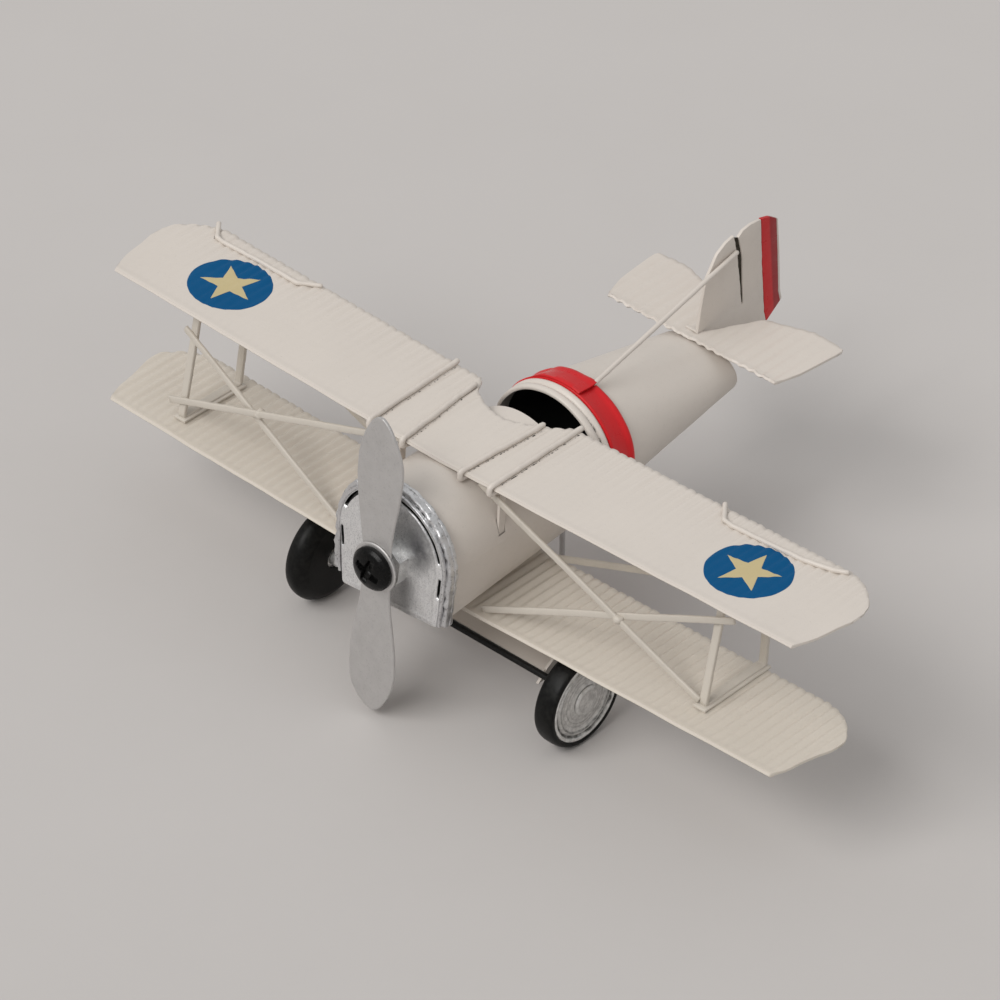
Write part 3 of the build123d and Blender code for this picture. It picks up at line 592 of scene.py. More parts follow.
M_PROP = metal("plain_steel", (0.60, 0.587, 0.578), rough=0.46, vary=0.10, spots=2.6, bump=0.20, bump_scale=5.0, dark=0.80, metallic=0.80)
M_ZINC = metal("zinc_hardware", (0.74, 0.74, 0.73), rough=0.30, vary=0.2, bump=0.25, bump_scale=2.0)

# wheel discs: turned rings round the axle, dull between them
m = Mat("wheel_metal")
wx, wy, wz = m.xyz()
dx, dz = m.math("ADD", wx, 17.1), m.math("ADD", wz, 22.3)
wr = m.math("SQRT", m.math("ADD", m.math("MULTIPLY", dx, dx), m.math("MULTIPLY", dz, dz)))
wr = m.math("ADD", wr, m.math("MULTIPLY", m.math("SUBTRACT", m.noise(0.7, 2, 0.5), 0.5), 0.5))
cloud = m.noise(0.9, 4, 0.65)
fine = m.noise(4.0, 3, 0.6)
col = m.mix(m.ramp(cloud, 0.35, 0.68), (0.78, 0.775, 0.76), (0.50, 0.495, 0.485))
for ring_r, ring_w, amount in ((6.98, 0.34, 1.0), (6.1, 0.24, 0.75), (5.2, 0.16, 0.25), (4.5, 0.16, 0.35), (3.8, 0.14, 0.22), (2.0, 0.12, 0.2)):
    near = m.ramp(m.math("ABSOLUTE", m.math("SUBTRACT", wr, ring_r)), ring_w * 0.35, ring_w, amount, 0.0)
    near = m.math("MULTIPLY", near, m.ramp(m.noise(0.8, 2, 0.6), 0.30, 0.60, 0.35, 1.0))
    col = m.mix(near, col, (0.10, 0.10, 0.095))
bright = m.math("MULTIPLY", m.ramp(wr, 7.2, 7.4), m.ramp(cloud, 0.3, 0.6, 0.9, 0.3))
col = m.mix(bright, col, (0.90, 0.90, 0.89))
m.set(color=col, rough=m.ramp(fine, 0.3, 0.7, 0.40, 0.56), metal=0.9, normal=m.bump(fine, 0.4, 0.06, m.bump(cloud, 0.5, 0.15)))
M_WHEEL = m.m

# cowl plate: bright dressed sheet; a dark patch beside the nut is a painted reflection of the propeller's unlit back, a
# streak below it is a painted blade shadow, and the slot floors are painted black as painted shade
m = Mat("cowl_steel")
px, py, pz = m.xyz()
grain = m.noise(1.3, 4, 0.6, stretch=(1.0, 1.6, 0.5))
fine = m.noise(6.0, 3, 0.6)
warp = m.math("MULTIPLY", m.math("SUBTRACT", m.noise(0.5, 3, 0.6), 0.5), 2.6)
# painted reflection: a dark cloud beside the nut stands in for the propeller's unlit back reflected in the plate
dy, dz = m.math("SUBTRACT", py, 6.2), m.math("SUBTRACT", pz, 5.2)
cloud = m.math("SQRT", m.math("ADD", m.math("MULTIPLY", dy, dy), m.math("MULTIPLY", m.math("MULTIPLY", dz, dz), 0.45)))
cloud = m.ramp(m.math("ADD", cloud, warp), 0.6, 4.2, 1.0, 0.0)
# painted shadow: a dark streak below the hub, along the lower blade, stands in for the blade's shadow
tail_y = m.math("ADD", m.math("SUBTRACT", py, 3.6), m.math("MULTIPLY", warp, 0.5))
painted_blade_shadow = m.math("MULTIPLY", m.ramp(m.math("ABSOLUTE", tail_y), 0.4, 2.6, 1.0, 0.0), m.ramp(pz, -3.5, -1.0, 1.0, 0.0))
col = m.mix(m.ramp(grain, 0.35, 0.7, 0.0, 0.6), (0.87, 0.87, 0.87), (0.66, 0.66, 0.67))
col = m.mix(m.ramp(m.noise(3.2, 3, 0.65), 0.50, 0.66, 0.0, 0.55), col, (0.42, 0.42, 0.43))
col = m.mix(m.math("MULTIPLY", cloud, 0.92), col, (0.12, 0.12, 0.13))
col = m.mix(m.math("MULTIPLY", painted_blade_shadow, 0.50), col, (0.26, 0.26, 0.26))
# painted shade: where the plate dips into its recessed slots the colour turns black
col = m.mix(m.ramp(px, -1.27, -1.18, 1.0, 0.0), col, (0.002, 0.002, 0.002))
mask = m.ramp(px, -1.27, -1.18, 0.0, 0.85)
m.set(color=col, rough=m.ramp(grain, 0.3, 0.7, 0.30, 0.44), metal=mask,
      normal=m.bump(fine, 0.6, 0.06, m.bump(grain, 0.5, 0.14)))
M_PLATE = m.m


def painted_inside_shade(material, depth=0.0):
    """Blackens faces that look towards the body's own axis (the inside of the shell): painted shade for the unlit
    interior.
    """
    t = material.node_tree
    b = t.nodes["Principled BSDF"]
    src = b.inputs["Base Color"].links[0].from_socket
    rsrc = b.inputs["Roughness"].links[0].from_socket
    geo = t.nodes.new("ShaderNodeNewGeometry")
    tc = t.nodes.new("ShaderNodeTexCoord")
    off = t.nodes.new("ShaderNodeVectorMath")
    off.operation = "SUBTRACT"
    off.inputs[1].default_value = (0, 0, (Z0 + 0.8) / 1000)
    t.links.new(tc.outputs["Object"], off.inputs[0])
    flat = t.nodes.new("ShaderNodeVectorMath")
    flat.operation = "MULTIPLY"
    flat.inputs[1].default_value = (0, 1000, 1000)
    t.links.new(off.outputs[0], flat.inputs[0])
    dot = t.nodes.new("ShaderNodeVectorMath")
    dot.operation = "DOT_PRODUCT"
    t.links.new(flat.outputs[0], dot.inputs[0])
    t.links.new(geo.outputs["True Normal"], dot.inputs[1])
    less = t.nodes.new("ShaderNodeMath")
    less.operation = "LESS_THAN"
    less.inputs[1].default_value = -2.0
    t.links.new(dot.outputs["Value"], less.inputs[0])
    mixc = t.nodes.new("ShaderNodeMix")
    mixc.data_type = "RGBA"
    t.links.new(less.outputs[0], mixc.inputs[0])
    t.links.new(src, mixc.inputs[6])
    mixc.inputs[7].default_value = (0.012, 0.013, 0.011, 1)
    t.links.new(mixc.outputs[2], b.inputs["Base Color"])
    mixr = t.nodes.new("ShaderNodeMix")
    t.links.new(less.outputs[0], mixr.inputs[0])
    t.links.new(rsrc, mixr.inputs[2])
    mixr.inputs[3].default_value = 0.6
    t.links.new(mixr.outputs[0], b.inputs["Roughness"])


def rim_marks(m):
    x, y, z = m.xyz()
    near = m.ramp(m.math("ABSOLUTE", m.math("ADD", x, 41.6)), 0.10, 0.24, 1.0, 0.0)
    return m.math("MULTIPLY", m.math("MULTIPLY", near, m.ramp(y, 6.5, 8.5)), m.ramp(m.noise(1.5, 2, 0.6), 0.46, 0.56, 0.0, 0.8))


M_SHELL = paint("cream_paint_shell", CREAM, rough=0.38, grime=0.4, bump=0.25, strokes=(1.4, 0.3, 0.3))
# the shell's inner faces are painted black as painted shade
painted_inside_shade(M_SHELL)
M_RIM = paint("cream_paint_rim", CREAM, rough=0.36, grime=0.5, bump=0.28, strokes=(1.2, 0.5, 0.5), marks_and_shade=rim_marks)

m = Mat("tyre")
tn = m.noise(1.2, 4, 0.6)
m.set(color=m.mix(m.ramp(tn, 0.4, 0.7), (0.002, 0.002, 0.002), (0.010, 0.010, 0.009)), rough=m.ramp(tn, 0.3, 0.7, 0.34, 0.52),
      spec=0.18, normal=m.bump(m.noise(3.0, 4, 0.6), 0.25, 0.08))
M_TYRE = m.m
m = Mat("black_hardware")
tn = m.noise(2.2, 4, 0.6)
m.set(color=m.mix(m.ramp(tn, 0.45, 0.7), (0.002, 0.002, 0.002), (0.007, 0.0068, 0.0065)), rough=m.ramp(tn, 0.3, 0.7, 0.24, 0.34),
      spec=0.16, normal=m.bump(m.noise(4.0, 3, 0.6), 0.25, 0.05))
M_BLACK = m.m
m = Mat("dark_wire")
tn = m.noise(1.7, 4, 0.6)
m.set(color=m.mix(m.ramp(tn, 0.4, 0.7), (0.004, 0.004, 0.004), (0.014, 0.013, 0.012)), rough=0.5, spec=0.25,
      normal=m.bump(m.noise(3.0, 3, 0.6), 0.3, 0.06))
M_DARK = m.m
m = Mat("slot_shadow_paint")
tn = m.noise(1.2, 4, 0.6)
m.set(color=m.mix(m.ramp(tn, 0.4, 0.7), (0.030, 0.024, 0.017), (0.060, 0.048, 0.034)), rough=0.7, spec=0.2,
      normal=m.bump(m.noise(3.0, 3, 0.6), 0.3, 0.06))
M_SLOT = m.m

# ---------------------------------------------------------------------------
# wings and tailplane
# ---------------------------------------------------------------------------
v, f = sheet(span_rows(78.25, 0.23), up_le, up_te, up_mid, up_thick, 30, lead_dense)
piece("corrugated_upper_wing", v, f, M_UPPER, slot="cream_paint_top", replaces=["upper_wing"], sharp=60)
v, f = sheet(span_rows(77.75, 0.23), lo_le, lo_te, lo_mid, lo_thick, 28, lead_dense)
piece("corrugated_lower_wing", v, f, M_LOWER, slot="cream_paint_low", replaces=["lower_wing"], sharp=60)

ST_FRONT = ([0, 19.0, 20.3, 20.8, 21.2, 21.3], [-76.7, -76.7, -82.0, -86.0, -90.6, -91.4])
ST_REAR = ([0, 0.5, 5.7, 14.2, 17.4, 20.8, 21.3], [-80.1, -80.1, -90.5, -93.55, -93.55, -93.1, -92.2])


def st_le(y):
    return float(np.interp(abs(y), *ST_FRONT)) + edge_ripple(y, 24.0, 0.15) - 0.05


def st_te(y):
    return float(np.interp(abs(y), *ST_REAR)) + edge_ripple(y, 27.0, 0.06) + 0.08


def st_mid(x, y):
    front = smoothstep(9, 0, -76.7 - x)
    side = 1.0 if y < 0 else 0.62
    return 6.5 + side * (0.07 + 0.075 * front) * crest(y, 2.3, 21.0) + 0.08 * nz((x * 0.5, y, 0), 0.15, 22.0)


def st_thick(x, y):
    return SHEET + 0.14 * (1 - smoothstep(0.6, 1.1, -76.7 - x))


rows = [i * 0.23 for i in range(0, 91)] + [20.9, 21.05, 21.18, 21.28]
rows = [-r for r in rows[:0:-1]] + rows
v, f = sheet(rows, st_le, st_te, st_mid, st_thick, 22, lead_dense)
piece("corrugated_stabilizer", v, f, M_UPPER, slot="cream_paint_body", replaces=["stabilizer"], sharp=60)

# wires folded round the leading edge
for name, (yl, yt, xt) in BEADS.items():
    pts = []
    zt = lambda x, y: UP_Z + UP_DIH * abs(y) + 0.25 + 0.42 + 0.06
    top0 = (xt, yt, zt(xt, yt) - 0.05)
    top1 = (UP_LE + 0.50, yl, zt(UP_LE, yl) - 0.02)
    nose = (UP_LE + 0.56, yl, UP_Z + UP_DIH * abs(yl) - 0.85)
    back = (UP_LE - 0.9, yl, UP_Z + UP_DIH * abs(yl) - 0.90)
    path = densify(round_path([top0, top1, nose, back], [0.62, 0.55]), 0.45)
    path = [p + np.array([0, 0.10 * nz(p, 0.3, 5.0), 0.0]) for p in path]
    v, f = sweep(path, circle(0.50, 14), ref=(0, 1, 0), lumps=0.09, lump_scale=0.9, seed=yl, cap=0.7)
    piece("painted_" + name, v, f, M_WIRE, slot="cream_paint_body", replaces=[name], sharp=None)

AIL = {
    "port": [(-34.9, 42.6), (-31.4, 45.4), (-31.0, 47.2), (-31.2, 54.0), (-31.5, 61.5), (-32.7, 67.2), (-33.8, 69.4)],
    "starboard": [(-34.9, -72.0), (-31.6, -69.2), (-31.4, -67.4), (-31.8, -59.2), (-31.8, -50.6), (-34.2, -47.2)],
}
for side, pts in AIL.items():
    P = [(x, y, UP_Z + UP_DIH * abs(y) + 0.25 + 0.34) for x, y in pts]
    path = densify(round_path(P, 1.0), 0.5)
    v, f = sweep(path, circle(0.42, 12), ref=(0, 0, 1), lumps=0.09, lump_scale=0.9, seed=3.0, cap=0.7)
    piece("painted_aileron_wire_" + side, v, f, M_WIRE, slot="cream_paint_body", replaces=["aileron_wire_" + side], sharp=None)


# insignia: brushed-on disc and star that follow the sheet
def roundel(side, cx, cy, turn, R=7.36, ro=5.45, ri=2.15):
    def lift(x, y, h):
        return (x, y, up_mid(x, y) + 0.25 + h)
    nseg, nr = 144, 20
    verts, faces = [], []
    for h, flip in ((0.075, 1), (-0.05, -1)):
        for i in range(nr + 1):
            for k in range(nseg):
                a = 2 * math.pi * k / nseg
                edge = R * (1 + 0.012 * nz((math.cos(a) * 3, math.sin(a) * 3, cy), 1.0, 1.0))
                r = edge * i / nr
                verts.append(lift(cx + r * math.cos(a), cy + r * math.sin(a), h - (0.05 if i == nr and flip > 0 else 0)))
    n = (nr + 1) * nseg
    for b, flip in ((0, 1), (n, -1)):
        for i in range(nr):
            for k in range(nseg):
                k2 = (k + 1) % nseg
                q = [b + i * nseg + k, b + i * nseg + k2, b + (i + 1) * nseg + k2, b + (i + 1) * nseg + k]
                faces.append(q if flip > 0 else q[::-1])
    for k in range(nseg):
        k2 = (k + 1) % nseg
        faces.append([nr * nseg + k, nr * nseg + k2, n + nr * nseg + k2, n + nr * nseg + k])
    piece("painted_roundel_" + side, verts, faces, M_BLUE, slot="blue_paint", replaces=["roundel_disc_" + side], sharp=50)

    # star as rays from its centre so that it can bend with the sheet
    outline = []
    for i in range(10):
        a0 = math.radians(turn + 36 * i)
        a1 = math.radians(turn + 36 * (i + 1))
        r0, r1 = (ro, ri) if i % 2 == 0 else (ri, ro)
        p0 = np.array([r0 * math.cos(a0), r0 * math.sin(a0)])
        p1 = np.array([r1 * math.cos(a1), r1 * math.sin(a1)])
        for k in range(10):
            outline.append(p0 + (p1 - p0) * k / 10)
    verts, faces = [], []
    m_ = len(outline)
    for h in (0.135, 0.03):
        for i in range(13):
            for q in outline:
                w = 1 + 0.012 * nz((q[0], q[1], cy), 0.9, 2.0)
                r = q * w * i / 12
                verts.append(lift(cx + r[0], cy + r[1], h - (0.03 if i == 12 and h > 0.1 else 0)))
    n = 13 * m_
    for b, flip in ((0, 1), (n, -1)):
        for i in range(12):
            for k in range(m_):
                k2 = (k + 1) % m_
                q = [b + i * m_ + k, b + i * m_ + k2, b + (i + 1) * m_ + k2, b + (i + 1) * m_ + k]
                faces.append(q if flip > 0 else q[::-1])
    for k in range(m_):
        k2 = (k + 1) % m_
        faces.append([12 * m_ + k, 12 * m_ + k2, n + 12 * m_ + k2, n + 12 * m_ + k])
    piece("painted_star_" + side, verts, faces, M_STAR, slot="star_paint", replaces=["roundel_star_" + side], sharp=50)


roundel("port", -23.5, 57.3, 44.0)
roundel("starboard", -23.5, -58.4, 6.0)

# ---------------------------------------------------------------------------
# struts, braces, solder
# ---------------------------------------------------------------------------
STRUTS = {"port": (55.0, -15.9, -32.7, -17.0, -21.2, -32.2, -32.8),
          "starboard": (-61.2, -14.3, -29.6, -14.9, -19.6, -29.0, -32.4)}
for side, (sy, b0, b1, f0, f1, r0, r1) in STRUTS.items():
    zb = LO_Z + LO_DIH * abs(sy) + 0.25 + 0.2 + 0.225
    zt = UP_Z + UP_DIH * abs(sy) - 0.25 - 0.05
    path = densify(round_path([(f1, sy, zt), (f0, sy, zb + 0.15), (r0, sy, zb + 0.15), (r1, sy, zt)], [0.9, 0.9], 8), 0.8)
    leg = sweep(path, rounded_rect(0.42, 0.75, 0.26), ref=(0, 1, 0), lumps=0.07, lump_scale=0.7, seed=sy, cap=0.1)
    foot = sweep(densify([np.array([b0, sy, zb]), np.array([b1, sy, zb])], 0.8), rounded_rect(0.24, 1.35, 0.18),
                 ref=(0, 1, 0), lumps=0.06, lump_scale=0.6, seed=sy + 4, cap=0.05)
    v, f = join(leg, foot)
    piece("painted_strut_" + side, v, f, M_STRIP, slot="painted_strip", replaces=["interplane_strut_" + side], sharp=50)

BRACES = {
    "brace_down_port": ((-13.6, 8.0, 12.85), (-16.72, 54.2, -8.9)),
    "brace_up_port": ((-12.4, 10.9, -11.05), (-19.30, 58.3, 8.1)),
    "brace_up_starboard": ((-12.5, -20.5, -10.75), (-17.52, -63.0, 7.0)),
    "brace_down_starboard": ((-13.6, -9.6, 12.85), (-14.90, -64.0, -7.0)),
    "rear_brace_port": ((-30.8, 10.0, -10.6), (-31.85, 54.6, 6.0)),
    "rear_brace_starboard": ((-28.6, -10.0, -10.6), (-30.75, -60.8, 6.0)),
}
for name, (p, q) in BRACES.items():
    p, q = np.array(p), np.array(q)
    n = 60
    path = []
    for k in range(n + 1):
        t = k / n
        c = p + (q - p) * t
        # the strips are bent by hand, so they bow a little
        c = c + np.array([0.05 * nz(c, 0.09, 3.0), 0, 0.22 * nz(c, 0.06, 8.0)]) * math.sin(math.pi * t)
        path.append(c)
    v, f = sweep(path, rounded_rect(0.30, 0.62, 0.2), ref=(0, -(q - p)[2], (q - p)[1]), lumps=0.06, lump_scale=0.8, seed=p[1], cap=0.2)
    piece("painted_" + name, v, f, M_STRIP, slot="painted_strip", replaces=[name], sharp=50)

for name, c in (("solder_blob_port", (-15.75, 37.2, -0.9)), ("solder_blob_starboard", (-14.7, -42.6, 0.7))):
    v, f = blob(c, (0.95, 0.95, 0.9), 0.14, seed=c[1])
    piece("lumpy_" + name, v, f, M_STRIP, slot="solder", replaces=[name], sharp=None)

# ---------------------------------------------------------------------------
# fuselage
# ---------------------------------------------------------------------------
RIM_ZC = 1.3
CONE_R, CONE_X0, CONE_X1, CONE_A, CONE_B, CONE_ZC = 12.3, -42.9, -80.0, 8.6, 4.7, 0.6


def cone_at(x):
    k = (x - CONE_X0) / (CONE_X1 - CONE_X0)
    return CONE_R + (CONE_A - CONE_R) * k, CONE_R + (CONE_B - CONE_R) * k, RIM_ZC + (CONE_ZC - RIM_ZC) * k


def rim_wobble(x, r, a):
    return 0.05 * nz((x * 0.6, math.cos(a) * 6, math.sin(a) * 6), 0.5, 31.0)


rim = [(-40.02, 11.7), (-39.95, 11.95), (-40.02, 12.22), (-40.3, 12.42), (-40.8, 12.48), (-41.2, 12.40), (-41.42, 12.18), (-41.56, 12.02),
       (-41.68, 12.04), (-41.82, 12.24), (-42.1, 12.46), (-42.45, 12.58), (-42.7, 12.54), (-42.86, 12.38), (-42.88, 12.0),
       (-42.88, 11.68), (-42.4, 11.6), (-41.0, 11.6), (-40.3, 11.6)]
v, f = lathe(rim, 160, lambda x, r, a: (x, r * math.cos(a), RIM_ZC + r * math.sin(a)), closed=True, wobble=rim_wobble)
piece("painted_cockpit_rim", v, f, M_RIM, slot="cream_paint_body", replaces=["cockpit_rim"], sharp=50)


def on_cone(x, off, a):
    ea, eb, zc = cone_at(x)
    return (x, (ea + off) * math.cos(a), zc + (eb + off) * math.sin(a))


outer = [(CONE_X0 + 0.02, 0.0)] + [(CONE_X0 - i * 1.2, 0.0) for i in range(1, 31)] + [(-79.5, 0.0), (-79.8, -0.07), (-79.95, -0.22), (-80.0, -0.5)]
v, f = lathe(outer, 160, on_cone, wobble=lambda x, r, a: 0.05 * nz((x, math.cos(a) * 8, math.sin(a) * 8), 0.12, 33.0) * smoothstep(-43, -50, x))
n = len(outer)
inner = [(CONE_X0 + 0.02, -0.5), (-50.0, -0.5), (-60.0, -0.5), (-70.0, -0.5), (-79.4, -0.5)]
vi, fi = lathe(inner, 160, on_cone)
base = len(v)
v = list(v) + list(vi)
f = list(f) + [[i + base for i in g][::-1] for g in fi]
for k in range(160):
    k2 = (k + 1) % 160
    f.append((k * n, k2 * n, base + k2 * len(inner), base + k * len(inner)))
fan_cap(v, f, [k * n + n - 1 for k in range(160)], (-80.02, 0, CONE_ZC))
fan_cap(v, f, [base + k * len(inner) + len(inner) - 1 for k in range(160)], (-79.4, 0, CONE_ZC))
piece("painted_rear_body", v, f, M_SHELL, slot="cream_paint_body", replaces=["rear_fuselage_cone"], sharp=45)

band = [(-42.98, 0.02), (-42.98, 0.36), (-43.15, 0.52), (-43.5, 0.50), (-43.9, 0.40), (-45.2, 0.36), (-46.5, 0.38), (-47.0, 0.44), (-47.35, 0.64), (-47.7, 0.84), (-48.1, 0.84),
        (-48.35, 0.66), (-48.4, 0.3), (-48.36, 0.02)]
v, f = lathe(band, 160, on_cone, closed=True, wobble=lambda x, r, a: 0.07 * nz((x * 0.7, math.cos(a) * 12, math.sin(a) * 12), 0.30, 35.0) if r > 0.1 else 0)
piece("painted_red_band", v, f, M_RED, slot="red_paint", replaces=["red_band"], sharp=55)

# the strap's end lies over the band, with a small gap showing under it
verts, faces = [], []
na = 40
edge_front, edge_back = math.radians(73.5), math.radians(75.0)
strap = [(-43.05, 0.54), (-43.0, 0.80), (-43.2, 0.97), (-44.4, 0.94), (-46.2, 0.95), (-46.9, 1.02), (-47.35, 1.22), (-47.9, 1.28), (-48.3, 1.12),
         (-48.35, 0.90), (-47.6, 0.88), (-46.9, 0.62), (-46.0, 0.54)]
for i in range(na + 1):
    t = i / na
    for x, off in strap:
        u = (x - strap[0][0]) / (-48.35 - strap[0][0])
        a_end = edge_front + (edge_back - edge_front) * u
        a = a_end + (math.radians(130) - a_end) * t
        lift = (0.08 + 0.26 * u) * smoothstep(0.25, 0.0, t)
        o = off + lift if off > 0.6 else off + lift
        if t > 0.6:
            o = off - (off - 0.42) * smoothstep(0.6, 1.0, t) if off > 0.45 else off
        verts.append(on_cone(x, o + 0.05 * nz((x, a * 12, 0), 0.5, 37.0), a))
ms = len(strap)
for i in range(na):
    for j in range(ms):
        j2 = (j + 1) % ms
        faces.append((i * ms + j, i * ms + j2, (i + 1) * ms + j2, (i + 1) * ms + j))
faces.append(list(range(ms))[::-1])
faces.append([na * ms + j for j in range(ms)])
piece("painted_strap_end", verts, faces, M_RED, slot="red_paint", replaces=["red_band_strap_end"], sharp=45)


def arch(n_top, n_side, n_bottom, W, WB, ZB, rc=0.7, ZS=1.5):
    """Arch outline from the starboard bottom corner over the top and back along the bottom: list of (y, z)."""
    pts = []
    L = math.hypot(W - WB, ZS - ZB)
    sx, sz = (W - WB) / L, (ZS - ZB) / L
    for k in range(n_side):
        t = k / n_side
        d = rc + (L - rc) * t
        pts.append((-(WB + sx * d), ZB + sz * d))
    for k in range(n_top + 1):
        a = math.pi - math.pi * k / n_top
        pts.append((W * math.cos(a), ZS + W * math.sin(a)))
    for k in range(1, n_side + 1):
        t = 1 - k / n_side
        d = rc + (L - rc) * t
        pts.append((WB + sx * d, ZB + sz * d))
    p0, p1, p2 = np.array(pts[-1]), np.array([WB, ZB]), np.array([WB - rc, ZB])
    corner = [tuple((1 - t) ** 2 * p0 + 2 * t * (1 - t) * p1 + t * t * p2) for t in (0.25, 0.5, 0.75)]
    pts += corner
    for k in range(n_bottom + 1):
        pts.append((WB - rc - 2 * (WB - rc) * k / n_bottom, ZB))
    pts += [(-y, z) for y, z in corner[::-1]]
    return pts


# cowl front plate: beaten sheet with recessed slots near the edge, whose floors the plate material paints black as
# painted shade
SLOTS = ((-22, -4), (14, 80), (134, 160), (184, 202))
out = arch(110, 24, 30, 11.42, 10.55, -8.9)
# the lower edge was cut by hand: it hangs lower on the starboard side
out = [(y, z - (1.0 - 0.0762 * y) * smoothstep(-3.0, -8.9, z)) for y, z in out]
cy_, cz_ = 0.0, 1.0
levels = [0.0, 0.06, 0.12] + [0.18 + 0.035 * i for i in range(20)] + [0.87, 0.89, 0.905, 0.918, 0.926, 0.932, 0.937, 0.941, 0.946, 0.955, 0.965, 0.972, 0.977, 0.981, 0.985, 0.99, 1.0]
verts, faces = [], []
m_ = len(out)


def hammer(y, z):
    d, _ = noise.voronoi(Vector((y * 0.62, z * 0.62, 4.0)))
    cell = min(1.0, d[0])
    return 0.035 * cell + 0.09 * nz((0, y, z), 0.35, 41.0) + 0.02 * nz((0, y, z), 2.2, 43.0)


for i, s in enumerate(levels):
    for (y, z) in out:
        yy, zz = cy_ + (y - cy_) * s, cz_ + (z - cz_) * s
        ang = math.degrees(math.atan2(z - 1.5, y))
        if ang < -90:
            ang += 360
        edge = (1 - s) * math.hypot(y, z - cz_)
        slot = max(smoothstep(a0 - 1.5, a0 + 1.5, ang) * smoothstep(a1 + 1.5, a1 - 1.5, ang) for a0, a1 in SLOTS)
        x = -1.02 + 0.16 * (1 - s * s) + hammer(yy, zz)
        # rolled ridge just inside the joint, then the joint itself
        x += 0.10 * math.exp(-((edge - 1.1) / 0.30) ** 2)
        x -= 0.06 * smoothstep(0.3, 0.0, edge)
        x -= 0.95 * slot * smoothstep(0.12, 0.19, edge) * smoothstep(0.84, 0.75, edge)
        verts.append((x, yy, zz))
for i in range(1, len(levels) - 1):
    for k in range(m_):
        k2 = (k + 1) % m_
        faces.append((i * m_ + k, i * m_ + k2, (i + 1) * m_ + k2, (i + 1) * m_ + k))
for k in range(m_):
    faces.append((0, m_ + k, m_ + (k + 1) % m_))
b = len(verts)
for (y, z) in out:
    verts.append((-1.70, y, z))
for k in range(m_):
    k2 = (k + 1) % m_
    faces.append(((len(levels) - 1) * m_ + k, (len(levels) - 1) * m_ + k2, b + k2, b + k))
fan_cap(verts, faces, [b + k for k in range(m_)], (-1.70, cy_, cz_))
used = sorted({i for g in faces for i in g})
remap = {o: i for i, o in enumerate(used)}
verts = [verts[i] for i in used]
faces = [[remap[i] for i in g] for g in faces]
piece("beaten_cowl_plate", verts, faces, M_PLATE, slot="cowl_steel", replaces=["cowl_front_plate"], sharp=70)

# horseshoe of rolled solder round the joint: a fine bead next to the plate and a rough flange behind it
def shoe(W, WB, x, flare):
    pts = arch(90, 22, 2, W, WB, -8.75, 0.1)[:90 + 22 + 1 + 22]
    return [np.array((x, y - (flare * smoothstep(3.0, -8.0, z) if y < 0 else 0.0), z)) for y, z in pts]


bead = sweep(shoe(11.5 + 0.24, 10.6 + 0.30, -1.30, 0.30), rounded_rect(0.30, 0.40, 0.28, 3), ref=(1, 0, 0), lumps=0.07, lump_scale=0.9, seed=53.0, cap=0.3)
flange = sweep(shoe(11.5 + 0.78, 10.6 + 0.86, -2.45, 0.95), rounded_rect(0.52, 0.92, 0.34, 3), ref=(1, 0, 0), lumps=0.34, lump_scale=0.95, seed=51.0, cap=0.25)
lip = sweep(shoe(11.5 + 1.22, 10.6 + 1.22, -3.05, 1.0), rounded_rect(0.20, 0.34, 0.15, 3), ref=(1, 0, 0), lumps=0.22, lump_scale=0.8, seed=57.0, cap=0.2)
v, f = join(bead, flange, lip)
piece("rolled_cowl_ring", v, f, M_RING, slot="cowl_steel", replaces=["cowl_ring"], sharp=None)

# ---------------------------------------------------------------------------
# nose hardware and propeller
# ---------------------------------------------------------------------------
def hexagon(apothem, turn, x0, x1, chamfer_r, bore, name, node, material):
    nseg = 72
    rows = []
    def rr(a):
        b = (a - math.radians(turn)) % (math.pi / 3)
        return apothem / math.cos(b - math.pi / 6)
    prof = []
    verts, faces = [], []
    for k in range(nseg):
        a = 2 * math.pi * k / nseg
        R = rr(a)
        drop = max(0.0, R - chamfer_r) * 0.5
        rc = min(R, chamfer_r)
        ring = [(x0, bore), (x0, rc), (x0 + drop, R), (x1 - drop, R), (x1, rc), (x1, bore)]
        for x, r in ring:
            verts.append((x, r * math.cos(a), r * math.sin(a)))
    q = 6
    for k in range(nseg):
        k2 = (k + 1) % nseg
        for j in range(q):
            j2 = (j + 1) % q
            faces.append((k * q + j, k * q + j2, k2 * q + j2, k2 * q + j))
    piece(name, verts, faces, material, slot="zinc_hardware", replaces=[node], sharp=25)


hexagon(3.85, 24.0, -0.86, 1.18, 4.22, 1.96, "chamfered_hex_nut", "hex_nut", M_ZINC)

# hand-cut outline: half widths to port and to starboard along the blade
BL_PORT = np.array([(-29.94, 0.0), (-29.8, 0.7), (-29.3, 1.35), (-28.3, 2.15), (-26.5, 3.15), (-24.0, 4.15), (-21.3, 4.70), (-17.2, 4.62), (-13.2, 4.10),
                    (-9.4, 3.45), (-5.7, 3.0), (-3.0, 3.0), (0.0, 3.1), (3.8, 3.05), (6.0, 3.2), (9.1, 3.6), (13.7, 4.45), (18.0, 5.0), (20.0, 5.15),
                    (22.1, 5.08), (23.8, 4.65), (25.5, 3.9), (27.2, 3.0), (28.5, 2.2), (29.4, 1.3), (29.85, 0.6), (29.94, 0.0)])
BL_STBD = np.array([(-29.94, 0.0), (-29.85, 1.0), (-29.4, 2.2), (-28.4, 3.5), (-26.6, 4.75), (-25.0, 5.2), (-22.8, 5.42), (-18.5, 5.3), (-13.8, 4.7),
                    (-9.1, 3.8), (-6.0, 3.35), (-3.0, 3.1), (0.0, 3.1), (3.8, 3.3), (5.4, 3.55), (9.2, 4.1), (13.0, 4.62), (17.0, 4.88), (21.1, 4.7),
                    (23.5, 4.2), (25.8, 3.45), (27.3, 2.75), (28.6, 2.0), (29.45, 1.2), (29.85, 0.6), (29.94, 0.0)])


def blade_w(z, sgn):
    t = BL_PORT if sgn > 0 else BL_STBD
    return float(np.interp(z, t[:, 0], t[:, 1]))


